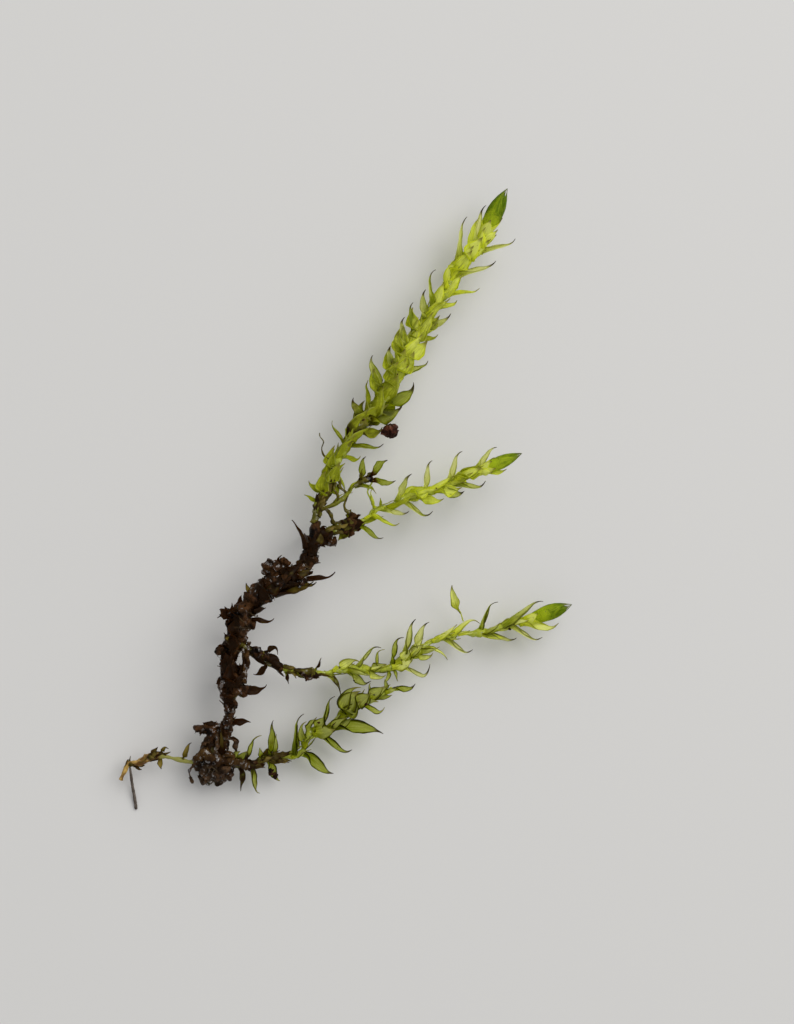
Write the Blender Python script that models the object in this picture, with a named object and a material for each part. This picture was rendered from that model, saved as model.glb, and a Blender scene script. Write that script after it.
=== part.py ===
"""A moss shoot as picked, lying on its side: an old dark stem with one long leafy shoot and three branches.

It is about 10 mm wide and 14 mm long. +X runs to the right across the sheet it lies on, +Y up the
sheet and +Z away from it, and the sheet is at Z = 0. Places and sizes below are in millimetres.
"""
import math

import bmesh
import bpy
from mathutils import Matrix, Vector, noise

MM = 0.001
EYE = Vector((-9.29, -5.29, 43.59))  # the shoot is seen from here, 45 mm away and a little from the left
SEEN_LEVEL = 0.7  # plan places are where things show on this level, seen from EYE
UP = Vector((0.0, 0.0, 1.0))

RING_STEP = 0.3  # along a stem, from ring to ring
BUMP_SIZE = 0.22  # across one lump of bark
FOOT_REACH = 0.95  # a separate leaf starts this share of the stem's radius out from its axis
LEAF_THICKNESS = 0.045
LEAF_CUP = 0.35  # how far the margins lift, as a share of the half width
LEAF_SHAPE = ((0.0, 0.75), (0.2, 1.0), (0.48, 0.75), (0.76, 0.3))  # place along a leaf, share of its width
GROWN_SHAPE = ((0.0, 0.8), (0.35, 0.95), (0.72, 0.38))  # the same for one that is part of its stem
FULL_WIDTH_SHARE = 0.32  # a leaf's real width is at least this share of its length
SPIRAL_ANGLE = math.radians(137.5)  # from one leaf to the next round a stem
FLANK = 0.8  # leaves by rule keep off the two flanks, whose leaves are listed one by one

# Routes: x, y, z and radius of a stem, from its foot to its tip
MAIN_SHOOT = (
    (-0.89, -0.78, 1.02, 0.10), (-0.82, -0.55, 1.03, 0.11), (-0.67, -0.25, 1.05, 0.11),
    (-0.62, 0.05, 1.06, 0.10), (-0.45, 0.39, 1.05, 0.11), (-0.20, 0.75, 1.02, 0.12),
    (-0.07, 1.00, 1.00, 0.14), (0.10, 1.25, 0.97, 0.15), (0.45, 1.55, 0.93, 0.16),
    (0.68, 1.92, 0.90, 0.16), (0.92, 2.33, 0.87, 0.15), (1.15, 2.85, 0.83, 0.15),
    (1.50, 3.30, 0.80, 0.14), (1.73, 3.68, 0.78, 0.12), (1.92, 3.98, 0.76, 0.11),
    (2.13, 4.20, 0.75, 0.12), (2.24, 4.45, 0.74, 0.11), (2.39, 4.78, 0.73, 0.12),
    (2.69, 5.08, 0.72, 0.13), (2.98, 5.35, 0.72, 0.13), (3.14, 5.70, 0.73, 0.12),
)
OLD_STEM = (
    (-3.05, -5.87, 0.60, 0.15), (-3.03, -5.60, 0.70, 0.13), (-2.95, -5.28, 0.80, 0.14),
    (-2.88, -5.02, 0.85, 0.10), (-2.88, -4.85, 0.88, 0.12), (-2.85, -4.60, 0.92, 0.23),
    (-2.82, -4.30, 0.95, 0.25), (-2.83, -4.00, 0.98, 0.19), (-2.78, -3.64, 1.00, 0.23),
    (-2.70, -3.35, 1.03, 0.22), (-2.68, -3.10, 1.05, 0.25), (-2.55, -2.87, 1.08, 0.26),
    (-2.30, -2.62, 1.10, 0.23), (-2.05, -2.38, 1.10, 0.24), (-1.75, -2.20, 1.10, 0.27),
    (-1.42, -2.04, 1.08, 0.23), (-1.13, -1.80, 1.06, 0.14), (-1.03, -1.50, 1.05, 0.17),
    (-0.95, -1.20, 1.03, 0.15), (-0.90, -0.90, 1.02, 0.12),
)
UPPER_BRANCH = (
    (-0.72, -1.14, 1.02, 0.09), (-0.44, -1.06, 1.03, 0.14), (-0.22, -0.98, 1.03, 0.18),
    (-0.02, -0.95, 1.02, 0.12), (0.13, -0.87, 1.01, 0.06), (0.27, -0.80, 1.00, 0.05),
    (0.38, -0.65, 1.00, 0.06), (0.55, -0.60, 1.00, 0.07), (0.78, -0.57, 1.00, 0.09),
    (0.98, -0.43, 1.00, 0.09), (1.15, -0.35, 1.00, 0.08), (1.30, -0.30, 1.00, 0.09),
    (1.53, -0.25, 1.00, 0.10), (1.75, -0.21, 0.99, 0.09), (1.95, -0.12, 0.98, 0.08),
    (2.20, -0.03, 0.97, 0.08), (2.36, 0.09, 0.96, 0.09), (2.62, 0.19, 0.95, 0.09),
    (2.88, 0.25, 0.95, 0.08),
)
MIDDLE_BRANCH = (
    (-2.50, -3.63, 0.98, 0.09), (-2.32, -3.72, 0.97, 0.12), (-2.12, -3.83, 0.95, 0.12),
    (-1.95, -3.95, 0.92, 0.09), (-1.75, -4.05, 0.88, 0.09), (-1.60, -4.12, 0.84, 0.09),
    (-1.42, -4.15, 0.80, 0.05), (-1.25, -4.17, 0.77, 0.07), (-1.08, -4.19, 0.74, 0.11),
    (-0.92, -4.19, 0.72, 0.06), (-0.72, -4.21, 0.69, 0.04), (-0.50, -4.15, 0.66, 0.09),
    (-0.25, -4.12, 0.64, 0.11), (0.00, -4.13, 0.62, 0.09), (0.25, -4.17, 0.60, 0.07),
    (0.50, -4.15, 0.59, 0.08), (0.75, -4.08, 0.58, 0.11), (0.95, -3.97, 0.57, 0.12),
    (1.15, -3.86, 0.56, 0.11), (1.35, -3.74, 0.55, 0.09), (1.55, -3.62, 0.55, 0.06),
    (1.75, -3.52, 0.55, 0.07), (2.00, -3.46, 0.55, 0.06), (2.25, -3.41, 0.55, 0.05),
    (2.50, -3.39, 0.55, 0.06), (2.75, -3.38, 0.55, 0.10), (3.00, -3.33, 0.55, 0.08),
    (3.25, -3.24, 0.55, 0.07), (3.50, -3.18, 0.55, 0.07), (3.75, -3.12, 0.55, 0.06),
    (3.94, -3.08, 0.55, 0.06),
)
LOWER_BRANCH = (
    (-2.78, -6.08, 0.50, 0.10), (-2.50, -6.14, 0.50, 0.09), (-2.32, -6.12, 0.50, 0.08),
    (-2.16, -6.02, 0.50, 0.10), (-2.00, -6.00, 0.50, 0.09), (-1.88, -6.02, 0.50, 0.04),
    (-1.75, -5.97, 0.50, 0.07), (-1.50, -5.98, 0.51, 0.08), (-1.30, -5.90, 0.52, 0.08),
    (-1.22, -5.68, 0.55, 0.08), (-1.13, -5.50, 0.58, 0.14), (-0.93, -5.48, 0.60, 0.11),
    (-0.74, -5.43, 0.60, 0.08), (-0.55, -5.32, 0.60, 0.09), (-0.38, -5.14, 0.62, 0.09),
    (-0.22, -4.97, 0.64, 0.10), (0.00, -4.88, 0.65, 0.11), (0.25, -4.78, 0.66, 0.10),
    (0.50, -4.68, 0.66, 0.08), (0.72, -4.57, 0.66, 0.05),
)
SIDE_BRANCHLET = (
    (-0.66, -0.58, 1.08, 0.04), (-0.35, -0.42, 1.13, 0.05), (-0.20, -0.30, 1.15, 0.06),
    (-0.07, -0.13, 1.17, 0.06), (0.13, 0.00, 1.20, 0.06), (0.30, 0.06, 1.22, 0.07),
)
RUNNER = (
    (-5.21, -6.38, 0.30, 0.06), (-5.13, -6.18, 0.33, 0.06), (-5.04, -6.05, 0.36, 0.07),
    (-4.85, -6.04, 0.40, 0.07), (-4.62, -5.94, 0.45, 0.09), (-4.45, -5.88, 0.47, 0.08),
    (-4.30, -5.90, 0.48, 0.06), (-4.10, -5.96, 0.49, 0.05), (-3.85, -6.02, 0.50, 0.05),
    (-3.68, -6.05, 0.50, 0.05),
)
OLD_STUBS = (
    ((-2.95, -5.30, 0.80, 0.12), (-3.30, -5.33, 0.80, 0.12), (-3.64, -5.36, 0.78, 0.11)),
    ((-3.26, -5.35, 0.78, 0.08), (-3.28, -5.60, 0.70, 0.10), (-3.33, -5.84, 0.62, 0.08)),
    ((-2.62, -2.92, 1.08, 0.16), (-2.92, -2.90, 1.10, 0.12)),
    ((-2.50, -3.60, 1.02, 0.06), (-2.50, -3.90, 1.00, 0.07), (-2.60, -4.25, 0.98, 0.08)),
    ((-1.00, -1.30, 1.05, 0.15), (-0.75, -1.27, 1.04, 0.15), (-0.48, -1.38, 1.02, 0.08)),
    ((-0.90, -1.10, 1.10, 0.10), (-0.72, -1.12, 1.14, 0.08)),
)
OLD_LUMPS = (
    (-1.66, -1.74, 1.20, 0.14), (-1.92, -2.08, 1.20, 0.18), (-2.35, -2.45, 1.20, 0.13),
    (-2.42, -3.08, 1.05, 0.15), (-3.03, -3.66, 1.00, 0.13), (-3.02, -4.38, 0.95, 0.12),
    (-2.58, -4.52, 0.95, 0.15), (-1.35, -2.18, 1.10, 0.16), (-2.05, -2.55, 1.00, 0.15),
)
ROOTLET = (
    (-5.02, -6.16, 0.27, 0.022), (-4.99, -6.40, 0.18, 0.026), (-4.94, -6.70, 0.08, 0.027),
    (-4.90, -7.00, 0.027, 0.027),
)

# Leaves: plan place of the foot and of the tip, height of the tip, width as seen, bow to the left
MAIN_LEAVES = (
    (2.90, 5.20, 3.20, 6.35, 0.80, 0.22, 0.06), (2.48, 4.92, 2.74, 6.07, 0.85, 0.17, 0.06),
    (1.90, 3.95, 1.97, 4.83, 0.95, 0.13, 0.10), (1.60, 3.70, 1.73, 4.36, 1.00, 0.14, 0.05),
    (1.30, 3.40, 1.43, 4.06, 1.00, 0.15, 0.06), (1.10, 3.10, 1.23, 3.72, 1.05, 0.15, 0.06),
    (0.85, 2.50, 0.89, 3.06, 1.10, 0.16, 0.05), (0.60, 2.00, 0.47, 2.85, 1.05, 0.25, 0.07),
    (0.15, 1.40, 0.02, 1.87, 1.15, 0.20, 0.04), (3.03, 5.22, 3.87, 5.60, 0.75, 0.10, -0.06),
    (2.50, 4.60, 3.39, 5.07, 0.75, 0.15, -0.06),
    (1.65, 3.35, 2.29, 3.83, 0.80, 0.17, -0.05), (1.10, 2.30, 1.73, 2.74, 0.85, 0.17, -0.05),
    (0.60, 1.62, 1.39, 2.25, 0.95, 0.32, -0.10), (0.28, 1.22, 1.13, 1.72, 1.00, 0.40, -0.05),
    (-0.10, 0.78, 0.66, 0.85, 1.00, 0.12, -0.08),
)
BRANCHLET_LEAVES = (
    (0.10, 0.05, 0.25, 0.57, 1.35, 0.16, 0.03), (0.32, 0.10, 0.75, 0.47, 1.35, 0.20, 0.04),
    (0.37, 0.04, 0.92, 0.03, 1.20, 0.17, -0.04),
)
UPPER_LEAVES = (
    (0.05, -1.00, 0.60, -1.25, 0.95, 0.15, -0.05), (0.57, -0.62, 1.20, -0.65, 1.05, 0.15, -0.06),
    (0.86, -0.42, 1.29, 0.17, 1.15, 0.20, 0.05), (1.05, -0.42, 1.75, -0.66, 0.90, 0.10, -0.13),
    (1.55, -0.20, 1.77, 0.47, 1.15, 0.17, 0.06), (2.05, -0.02, 2.47, 0.69, 1.15, 0.20, 0.06),
    (2.68, 0.28, 3.28, 0.79, 1.05, 0.17, 0.06), (1.83, -0.20, 2.50, -0.20, 1.00, 0.25, -0.05),
    (2.25, -0.05, 2.99, 0.03, 0.90, 0.10, -0.11),
)
MIDDLE_LEAVES = (
    (-0.02, -4.02, 0.50, -3.68, 0.75, 0.12, 0.09), (-0.22, -4.20, 0.25, -4.40, 0.55, 0.20, -0.08),
    (0.75, -4.00, 1.02, -3.45, 0.80, 0.15, 0.10), (1.02, -3.90, 1.30, -3.05, 0.70, 0.20, 0.05),
    (1.27, -3.75, 1.60, -3.13, 0.75, 0.22, 0.06), (1.00, -4.05, 1.60, -4.05, 0.60, 0.12, -0.20),
    (2.05, -3.52, 2.58, -3.75, 0.50, 0.10, -0.10), (2.80, -3.28, 3.20, -2.70, 0.75, 0.12, 0.10),
    (3.00, -3.38, 3.60, -3.50, 0.50, 0.10, -0.06), (3.38, -3.14, 4.25, -2.70, 0.65, 0.10, 0.06),
    (3.55, -3.22, 4.20, -3.50, 0.50, 0.10, -0.09),
)
LOWER_LEAVES = (
    (-2.06, -5.94, -1.92, -5.20, 0.85, 0.20, 0.04), (-1.55, -5.88, -1.25, -5.08, 0.90, 0.08, 0.10),
    (-0.93, -5.36, -0.56, -4.72, 0.85, 0.12, 0.07), (-1.32, -5.96, -0.63, -6.38, 0.30, 0.28, -0.04),
    (-0.93, -5.60, -0.20, -5.88, 0.45, 0.11, -0.10), (-0.70, -5.47, 0.50, -5.55, 0.55, 0.32, 0.05),
    (0.72, -4.62, 1.25, -4.48, 0.65, 0.15, -0.06),
)

# Small, clasping and worn leaves that are one piece with their stem, in the same form
MAIN_GROWN = (
    (2.20, 4.30, 2.98, 4.43, 0.70, 0.10, -0.05),
    (3.10, 5.50, 3.42, 5.68, 0.70, 0.12, 0.0), (0.30, 1.45, 0.35, 2.28, 0.95, 0.16, 0.03),
    (-0.45, 0.37, -0.78, 1.05, 1.10, 0.05, 0.05), (-0.72, -0.30, -1.05, 0.02, 1.05, 0.16, 0.03),
    (-0.86, -0.50, -1.15, -0.30, 1.00, 0.10, 0.0), (-0.35, 0.60, 0.13, 0.57, 0.85, 0.14, -0.06),
    (-0.62, 0.20, -0.25, -0.28, 1.10, 0.08, 0.05), (1.92, 3.95, 2.45, 4.14, 0.60, 0.12, -0.04),
    (1.48, 3.20, 1.98, 3.34, 0.55, 0.14, -0.04), (0.90, 2.20, 1.29, 2.62, 1.10, 0.18, 0.0),
    (0.05, 1.10, 0.62, 1.22, 0.85, 0.16, -0.06), (-0.20, 0.80, -0.48, 1.36, 1.00, 0.10, 0.05),
    (-0.60, 0.10, -0.22, 0.42, 1.10, 0.12, 0.0), (2.20, 4.38, 2.56, 4.98, 0.00, 0.30, 0.0),
    (1.10, 2.75, 1.50, 3.35, 0.00, 0.30, 0.0), (0.00, 1.12, 0.45, 1.62, 0.00, 0.30, 0.0),
)
OLD_GROWN = (
    (-1.45, -2.05, -0.50, -2.00, 1.05, 0.16, -0.06), (-1.45, -2.20, -0.92, -2.22, 0.90, 0.14, -0.04),
    (-2.38, -2.55, -2.46, -2.22, 1.30, 0.12, 0.0), (-2.45, -2.95, -1.88, -3.00, 1.05, 0.14, -0.06),
    (-2.65, -4.58, -2.06, -4.43, 0.95, 0.22, -0.05), (-2.90, -5.28, -2.42, -5.23, 0.80, 0.22, 0.03),
    (-1.00, -1.55, -1.44, -0.85, 1.15, 0.05, -0.03),
    (-1.55, -2.05, -1.70, -1.60, 1.25, 0.26, 0.04), (-2.80, -2.92, -3.04, -2.78, 1.12, 0.16, 0.0),
    (-2.78, -3.62, -3.14, -3.68, 1.05, 0.26, 0.05), (-2.72, -3.50, -2.96, -3.42, 1.25, 0.12, 0.0),
    (-2.98, -5.55, -2.78, -5.78, 0.75, 0.10, 0.10), (-2.85, -4.35, -3.16, -4.38, 1.00, 0.16, 0.0),
    (-2.72, -4.00, -2.50, -4.18, 0.85, 0.12, 0.0),
    (-1.75, -2.30, -1.15, -2.20, 0.80, 0.26, -0.08), (-1.40, -1.95, -1.22, -1.72, 1.20, 0.16, 0.0),
    (-2.66, -3.30, -2.95, -3.45, 0.00, 0.20, 0.0), (-2.80, -4.30, -3.10, -4.45, 0.00, 0.20, 0.0),
    (-2.00, -2.40, -2.20, -2.15, 0.00, 0.20, 0.0), (-1.00, -1.40, -1.15, -1.15, 0.00, 0.18, 0.0),
)
UPPER_GROWN = (
    (-0.20, -0.98, -0.42, -1.30, 1.00, 0.20, 0.0), (-0.22, -0.90, -0.10, -0.62, 1.10, 0.20, 0.0),
    (0.40, -0.80, 0.98, -0.92, 0.90, 0.10, -0.08), (0.40, -0.62, 0.40, -0.15, 1.15, 0.07, 0.05),
    (0.53, -0.58, 0.56, -0.36, 1.15, 0.07, 0.0), (1.25, -0.30, 2.02, -0.38, 1.05, 0.24, -0.05),
    (2.25, 0.03, 2.95, 0.30, 1.10, 0.22, 0.03), (3.00, 0.22, 3.50, 0.30, 0.90, 0.14, -0.04),
    (1.00, -0.42, 1.50, -0.27, 0.00, 0.24, 0.0), (2.10, -0.06, 2.60, 0.16, 0.00, 0.24, 0.0),
)
MIDDLE_GROWN = (
    (-2.15, -3.82, -1.80, -3.78, 1.05, 0.10, 0.09), (-2.20, -3.88, -2.36, -4.20, 0.80, 0.12, -0.03),
    (-1.62, -4.10, -1.58, -4.42, 0.65, 0.10, 0.0), (-1.45, -4.16, -1.22, -4.32, 0.65, 0.12, 0.0),
    (-0.97, -4.16, -0.85, -3.87, 0.90, 0.07, 0.0),
    (-0.75, -4.21, -0.43, -4.72, 0.35, 0.07, 0.05), (-0.58, -4.15, 0.02, -3.98, 0.75, 0.22, 0.06),
    (0.44, -4.12, 0.57, -3.72, 0.85, 0.08, 0.10), (0.14, -4.16, 0.60, -4.27, 0.60, 0.16, -0.06),
    (1.25, -3.85, 1.66, -3.80, 0.60, 0.16, -0.05), (1.55, -3.72, 2.00, -3.97, 0.45, 0.07, 0.05),
    (1.80, -3.50, 2.25, -3.18, 0.70, 0.08, 0.0), (2.18, -3.42, 2.76, -3.17, 0.65, 0.08, 0.13),
    (2.72, -3.42, 3.42, -3.54, 0.45, 0.12, 0.0),
    (0.76, -4.15, 0.56, -4.46, 0.50, 0.10, 0.0), (0.82, -4.12, 0.86, -4.42, 0.50, 0.08, 0.0),
    (0.80, -4.04, 1.25, -3.84, 0.00, 0.22, 0.0), (3.25, -3.24, 3.70, -3.12, 0.00, 0.20, 0.0),
    (1.90, -3.47, 2.30, -3.40, 0.00, 0.18, 0.0), (-0.40, -4.13, 0.00, -4.12, 0.00, 0.20, 0.0),
)
LOWER_GROWN = (
    (-2.60, -6.10, -2.20, -5.52, 0.75, 0.10, 0.09), (-1.98, -5.98, -1.87, -5.50, 0.75, 0.12, 0.0),
    (-2.20, -6.05, -2.24, -5.78, 0.65, 0.12, 0.0), (-2.72, -6.12, -2.67, -6.70, 0.25, 0.14, 0.03),
    (-2.45, -6.15, -2.25, -6.75, 0.20, 0.14, -0.06), (-2.10, -6.05, -1.80, -6.50, 0.25, 0.22, -0.04),
    (-1.48, -5.95, -1.40, -5.45, 0.80, 0.08, 0.0), (-1.25, -5.80, -1.20, -5.25, 0.85, 0.20, 0.08),
    (-0.50, -5.25, 0.03, -4.53, 0.90, 0.30, 0.13), (0.05, -4.90, 0.55, -4.98, 0.50, 0.12, -0.10),
    (0.17, -4.82, 0.24, -4.44, 0.85, 0.08, 0.0), (0.60, -4.64, 0.58, -4.36, 0.75, 0.12, 0.0),
    (-0.80, -5.44, -0.30, -5.18, 0.80, 0.22, 0.0), (-0.45, -5.22, -0.10, -4.92, 0.00, 0.20, 0.0),
    (-1.70, -5.98, -1.35, -5.95, 0.00, 0.18, 0.0),
)
RUNNER_GROWN = (
    (-4.58, -5.92, -4.42, -5.71, 0.60, 0.10, 0.0), (-4.36, -5.90, -4.20, -5.75, 0.58, 0.09, 0.05),
    (-4.44, -5.90, -4.35, -6.18, 0.40, 0.12, 0.0), (-4.95, -6.05, -4.78, -6.17, 0.35, 0.06, 0.0),
    (-3.92, -6.01, -3.70, -5.64, 0.65, 0.12, 0.03),
)
BRANCHLET_GROWN = ((0.02, -0.08, 0.47, -0.27, 1.10, 0.08, 0.04), (0.10, -0.02, 0.18, 0.28, 1.30, 0.10, 0.0))

# Rules for the leaves that close round a stem, above and below: first and last place along it as
# shares of its length, distance from leaf to leaf, reach forward, reach outward, width
MAIN_SHEATH = (0.15, 0.99, 0.40, 0.60, 0.16, 0.54)
UPPER_SHEATH = (0.45, 0.99, 0.45, 0.46, 0.13, 0.32)
MIDDLE_SHEATH = (0.40, 0.97, 0.60, 0.42, 0.12, 0.30)
LOWER_SHEATH = (0.50, 0.98, 0.42, 0.46, 0.14, 0.36)

# Closed buds: foot and tip as x, y, z, and the widest radius
MAIN_BUD = ((3.16, 5.75, 0.74), (3.72, 6.77, 0.86), 0.20)
UPPER_BUD = ((2.93, 0.27, 0.95), (3.87, 0.66, 1.02), 0.15)
MIDDLE_BUD = ((3.99, -3.07, 0.55), (4.93, -2.77, 0.62), 0.16)
BUD_SIDES = 8
NEARLY_FLAT = 0.05  # faces of a joined stem that meet at less than this angle, in radians, become one
BUD_SHAPE = ((0.0, 0.55), (0.25, 0.95), (0.48, 1.0), (0.68, 0.78), (0.86, 0.38))

LUMP_GRAIN = 2.2  # dents across a lump of unit radius
CLUMP_CENTRE = (-3.22, -6.21, 0.42)
CLUMP_RADII = (0.40, 0.29, 0.40)
GRAIN_CENTRE = (0.80, 1.12, 0.86)
GRAIN_RADIUS = 0.17
SPINDLE_FOOT = (2.38, -3.12, 0.68)  # the narrow leaf that stands off the middle branch on a thread
SPINDLE_TIP = (2.15, -2.31, 0.78)

COLOURS = {
    "old_stem": (0.030, 0.016, 0.008), "young_leaf": (0.30, 0.37, 0.05), "bud": (0.08, 0.20, 0.012),
    "shoot": (0.20, 0.25, 0.04), "runner": (0.38, 0.20, 0.05), "rootlet": (0.05, 0.045, 0.04),
    "grain": (0.09, 0.02, 0.015),
}
WETNESS = {"old_stem": 0.3, "grain": 0.35, "bud": 0.35}
DRY = 0.5


def seen_point(x, y, z):
    """The point at height z that shows at plan place x, y from the eye."""
    share = (z - SEEN_LEVEL) / (EYE.z - SEEN_LEVEL)
    return Vector((x + (EYE.x - x) * share, y + (EYE.y - y) * share, z))


def material(kind):
    found = bpy.data.materials.get(kind)
    if found:
        return found
    made = bpy.data.materials.new(kind)
    made.use_nodes = True
    shader = made.node_tree.nodes["Principled BSDF"]
    shader.inputs["Base Color"].default_value = (*COLOURS[kind], 1.0)
    shader.inputs["Roughness"].default_value = WETNESS.get(kind, DRY)
    shader.inputs["Metallic"].default_value = 0.0
    return made


def add_object(name, kind, bm):
    """Turns a mesh worked in millimetres into an object in metres."""
    bmesh.ops.recalc_face_normals(bm, faces=bm.faces)
    bmesh.ops.triangulate(bm, faces=bm.faces)
    mesh = bpy.data.meshes.new(name)
    bm.transform(Matrix.Scale(MM, 4))
    bm.to_mesh(mesh)
    bm.free()
    mesh.materials.append(material(kind))
    made = bpy.data.objects.new(name, mesh)
    bpy.context.scene.collection.objects.link(made)
    return made


def smooth_route(points):
    """Places and radii at an even step along a smooth curve through a stem's own points."""
    knots = [(*seen_point(x, y, z), radius) for x, y, z, radius in points]
    knots = [knots[0], *knots, knots[-1]]
    samples = []
    for before, start, end, after in zip(knots, knots[1:], knots[2:], knots[3:]):
        gap = (Vector(end[:3]) - Vector(start[:3])).length
        steps = max(1, round(gap / RING_STEP))
        for step in range(steps):
            t = step / steps
            weights = (
                (-t + 2 * t * t - t ** 3) / 2, (2 - 5 * t * t + 3 * t ** 3) / 2,
                (t + 4 * t * t - 3 * t ** 3) / 2, (t ** 3 - t * t) / 2,
            )
            mixed = [
                sum(w * v for w, v in zip(weights, values)) for values in zip(before, start, end, after)
            ]
            samples.append((Vector(mixed[:3]), mixed[3]))
    samples.append((Vector(knots[-1][:3]), knots[-1][3]))
    return samples


def tangents(samples):
    places = [place for place, radius in samples]
    ahead = [*places[1:], places[-1]]
    behind = [places[0], *places[:-1]]
    return [(a - b).normalized() for a, b in zip(ahead, behind)]


def bridge(bm, ring_a, ring_b):
    count = len(ring_a)
    for k in range(count):
        n = (k + 1) % count
        bm.faces.new((ring_a[k], ring_a[n], ring_b[n], ring_b[k]))


def close_end(bm, ring, place):
    tip = bm.verts.new(place)
    for a, b in zip(ring, [*ring[1:], ring[0]]):
        bm.faces.new((a, b, tip))


def add_stem_shape(bm, samples, bumps, sides):
    """A round stem with bark lumps, closed with a low point at each end."""
    rings = []
    side = None
    for (place, radius), along in zip(samples, tangents(samples)):
        if side is None:
            side = along.cross(UP).normalized()
        side = (side - along * side.dot(along)).normalized()
        other = along.cross(side)
        ring = []
        for k in range(sides):
            angle = 2 * math.pi * k / sides
            out = side * math.cos(angle) + other * math.sin(angle)
            lump = noise.noise((place + out * radius) / BUMP_SIZE)
            ring.append(bm.verts.new(place + out * radius * (1 + bumps * lump)))
        rings.append(ring)
    for ring_a, ring_b in zip(rings, rings[1:]):
        bridge(bm, ring_a, ring_b)
    ends = tangents(samples)
    close_end(bm, rings[0], samples[0][0] - ends[0] * samples[0][1] * 0.4)
    close_end(bm, rings[-1], samples[-1][0] + ends[-1] * samples[-1][1] * 0.4)


def add_leaf_shape(bm, foot, tip, facing, width, bow, shape=LEAF_SHAPE, hollow=True):
    """A cupped blade from a broad clasping foot to a slender tip, with a keel along its back."""
    length = (tip - foot).length
    left = UP.cross(tip - foot).normalized()
    rings = []
    for share, half in shape:
        place = foot.lerp(tip, share) + left * bow * 4 * share * (1 - share)
        along = (tip - foot + left * bow * 4 * (1 - 2 * share)).normalized()
        across = facing.cross(along).normalized() * width / 2 * half
        lift = facing * LEAF_CUP * width / 2 * half
        core = facing * LEAF_THICKNESS / 2 * (1 - 0.5 * share) * min(1.0, 0.3 + length)
        corners = [place - across + lift, place + across + lift, place - core]
        if hollow:
            corners.insert(1, place + core)
        rings.append([bm.verts.new(corner) for corner in corners])
    for ring_a, ring_b in zip(rings, rings[1:]):
        bridge(bm, ring_a, ring_b)
    bm.faces.new(rings[0])
    close_end(bm, rings[-1], tip)


def blade_facing(foot, tip, apex, seen, width):
    """The way a blade's hollow side faces: between up and the stem's tip, so that it shows `seen` wide."""
    axis = (tip - foot).normalized()
    turn = math.acos(min(1.0, seen / width))
    level = UP - axis * UP.dot(axis)
    forward = apex - axis * apex.dot(axis)
    if level.length < 0.05:
        return forward.normalized()
    return (level.normalized() * math.cos(turn) + forward.normalized() * math.sin(turn)).normalized()


def nearest(samples, place):
    """The place, radius and direction of a stem where it comes closest to a plan place."""
    ways = tangents(samples)
    k = min(range(len(samples)), key=lambda n: (samples[n][0] - place).to_2d().length)
    return samples[k][0], samples[k][1], ways[k]


def leaf_form(samples, leaf, grown):
    """Foot, tip, facing, width and bow of a listed leaf on its stem."""
    x, y, tip_x, tip_y, tip_z, seen, bow = leaf
    centre, radius, way = nearest(samples, seen_point(x, y, samples[0][0].z))
    foot = seen_point(x, y, centre.z)
    tip = seen_point(tip_x, tip_y, tip_z)
    if grown:
        foot = centre
    else:
        out = tip - centre
        out = (out - way * out.dot(way)).normalized()
        foot = foot + out * (radius * FOOT_REACH - (foot - centre).dot(out))
    width = max(seen, FULL_WIDTH_SHARE * (tip - foot).length)
    return foot, tip, blade_facing(foot, tip, way, seen, width), width, bow


def sheath_forms(samples, rule):
    """Leaves that close round a stem in a spiral, on the sides that face up and down."""
    first, last, spacing, forward, outward, width = rule
    ways = tangents(samples)
    start, end = int(first * len(samples)), int(last * (len(samples) - 1))
    forms = []
    turn = 0.0
    travelled = spacing
    for k in range(start, end):
        travelled += (samples[k][0] - samples[k - 1][0]).length
        if travelled < spacing:
            continue
        travelled = 0.0
        turn += SPIRAL_ANGLE
        way = ways[k]
        rise = (UP - way * UP.dot(way)).normalized()
        swing = math.sin(turn)
        if abs(swing) > FLANK:
            swing = math.copysign(FLANK, swing)
        lift = math.copysign(math.sqrt(1 - swing * swing), math.cos(turn))
        out = rise * lift + way.cross(rise) * swing
        foot = samples[k][0]
        tip = foot + way * forward + out * (outward + samples[k][1])
        axis = (tip - foot).normalized()
        forms.append((foot, tip, (way - axis * way.dot(axis)).normalized(), width, 0.0))
    return forms


def keep_skin(bm):
    """Keeps the outer skin alone, without the voids closed in between leaves, in as few faces as it needs."""
    waiting = set(bm.verts)
    shells = []
    while waiting:
        shell = {waiting.pop()}
        front = list(shell)
        while front:
            for edge in front.pop().link_edges:
                for vert in edge.verts:
                    if vert in waiting:
                        waiting.remove(vert)
                        shell.add(vert)
                        front.append(vert)
        shells.append(shell)
    shells.sort(key=len)
    for shell in shells[:-1]:
        bmesh.ops.delete(bm, geom=list(shell), context="VERTS")
    bmesh.ops.dissolve_limit(bm, angle_limit=NEARLY_FLAT, verts=bm.verts, edges=bm.edges)
    bmesh.ops.triangulate(bm, faces=bm.faces)


def fuse(stem, kind, growths):
    """Joins leaves, stubs and lumps to the stem that they grow from, as one closed solid."""
    group = bpy.data.collections.new(stem.name + "_growth")
    for number, growth in enumerate(growths):
        group.objects.link(add_object(f"{stem.name}_growth_{number}", kind, growth))
    union = stem.modifiers.new("growth", "BOOLEAN")
    union.operation = "UNION"
    union.solver = "EXACT"
    union.operand_type = "COLLECTION"
    union.collection = group
    shape = stem.evaluated_get(bpy.context.evaluated_depsgraph_get())
    bm = bmesh.new()
    bm.from_mesh(shape.to_mesh())
    shape.to_mesh_clear()
    stem.modifiers.clear()
    keep_skin(bm)
    bm.to_mesh(stem.data)
    bm.free()
    for growth in list(group.objects):
        bpy.data.objects.remove(growth)
    bpy.data.collections.remove(group)


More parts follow.
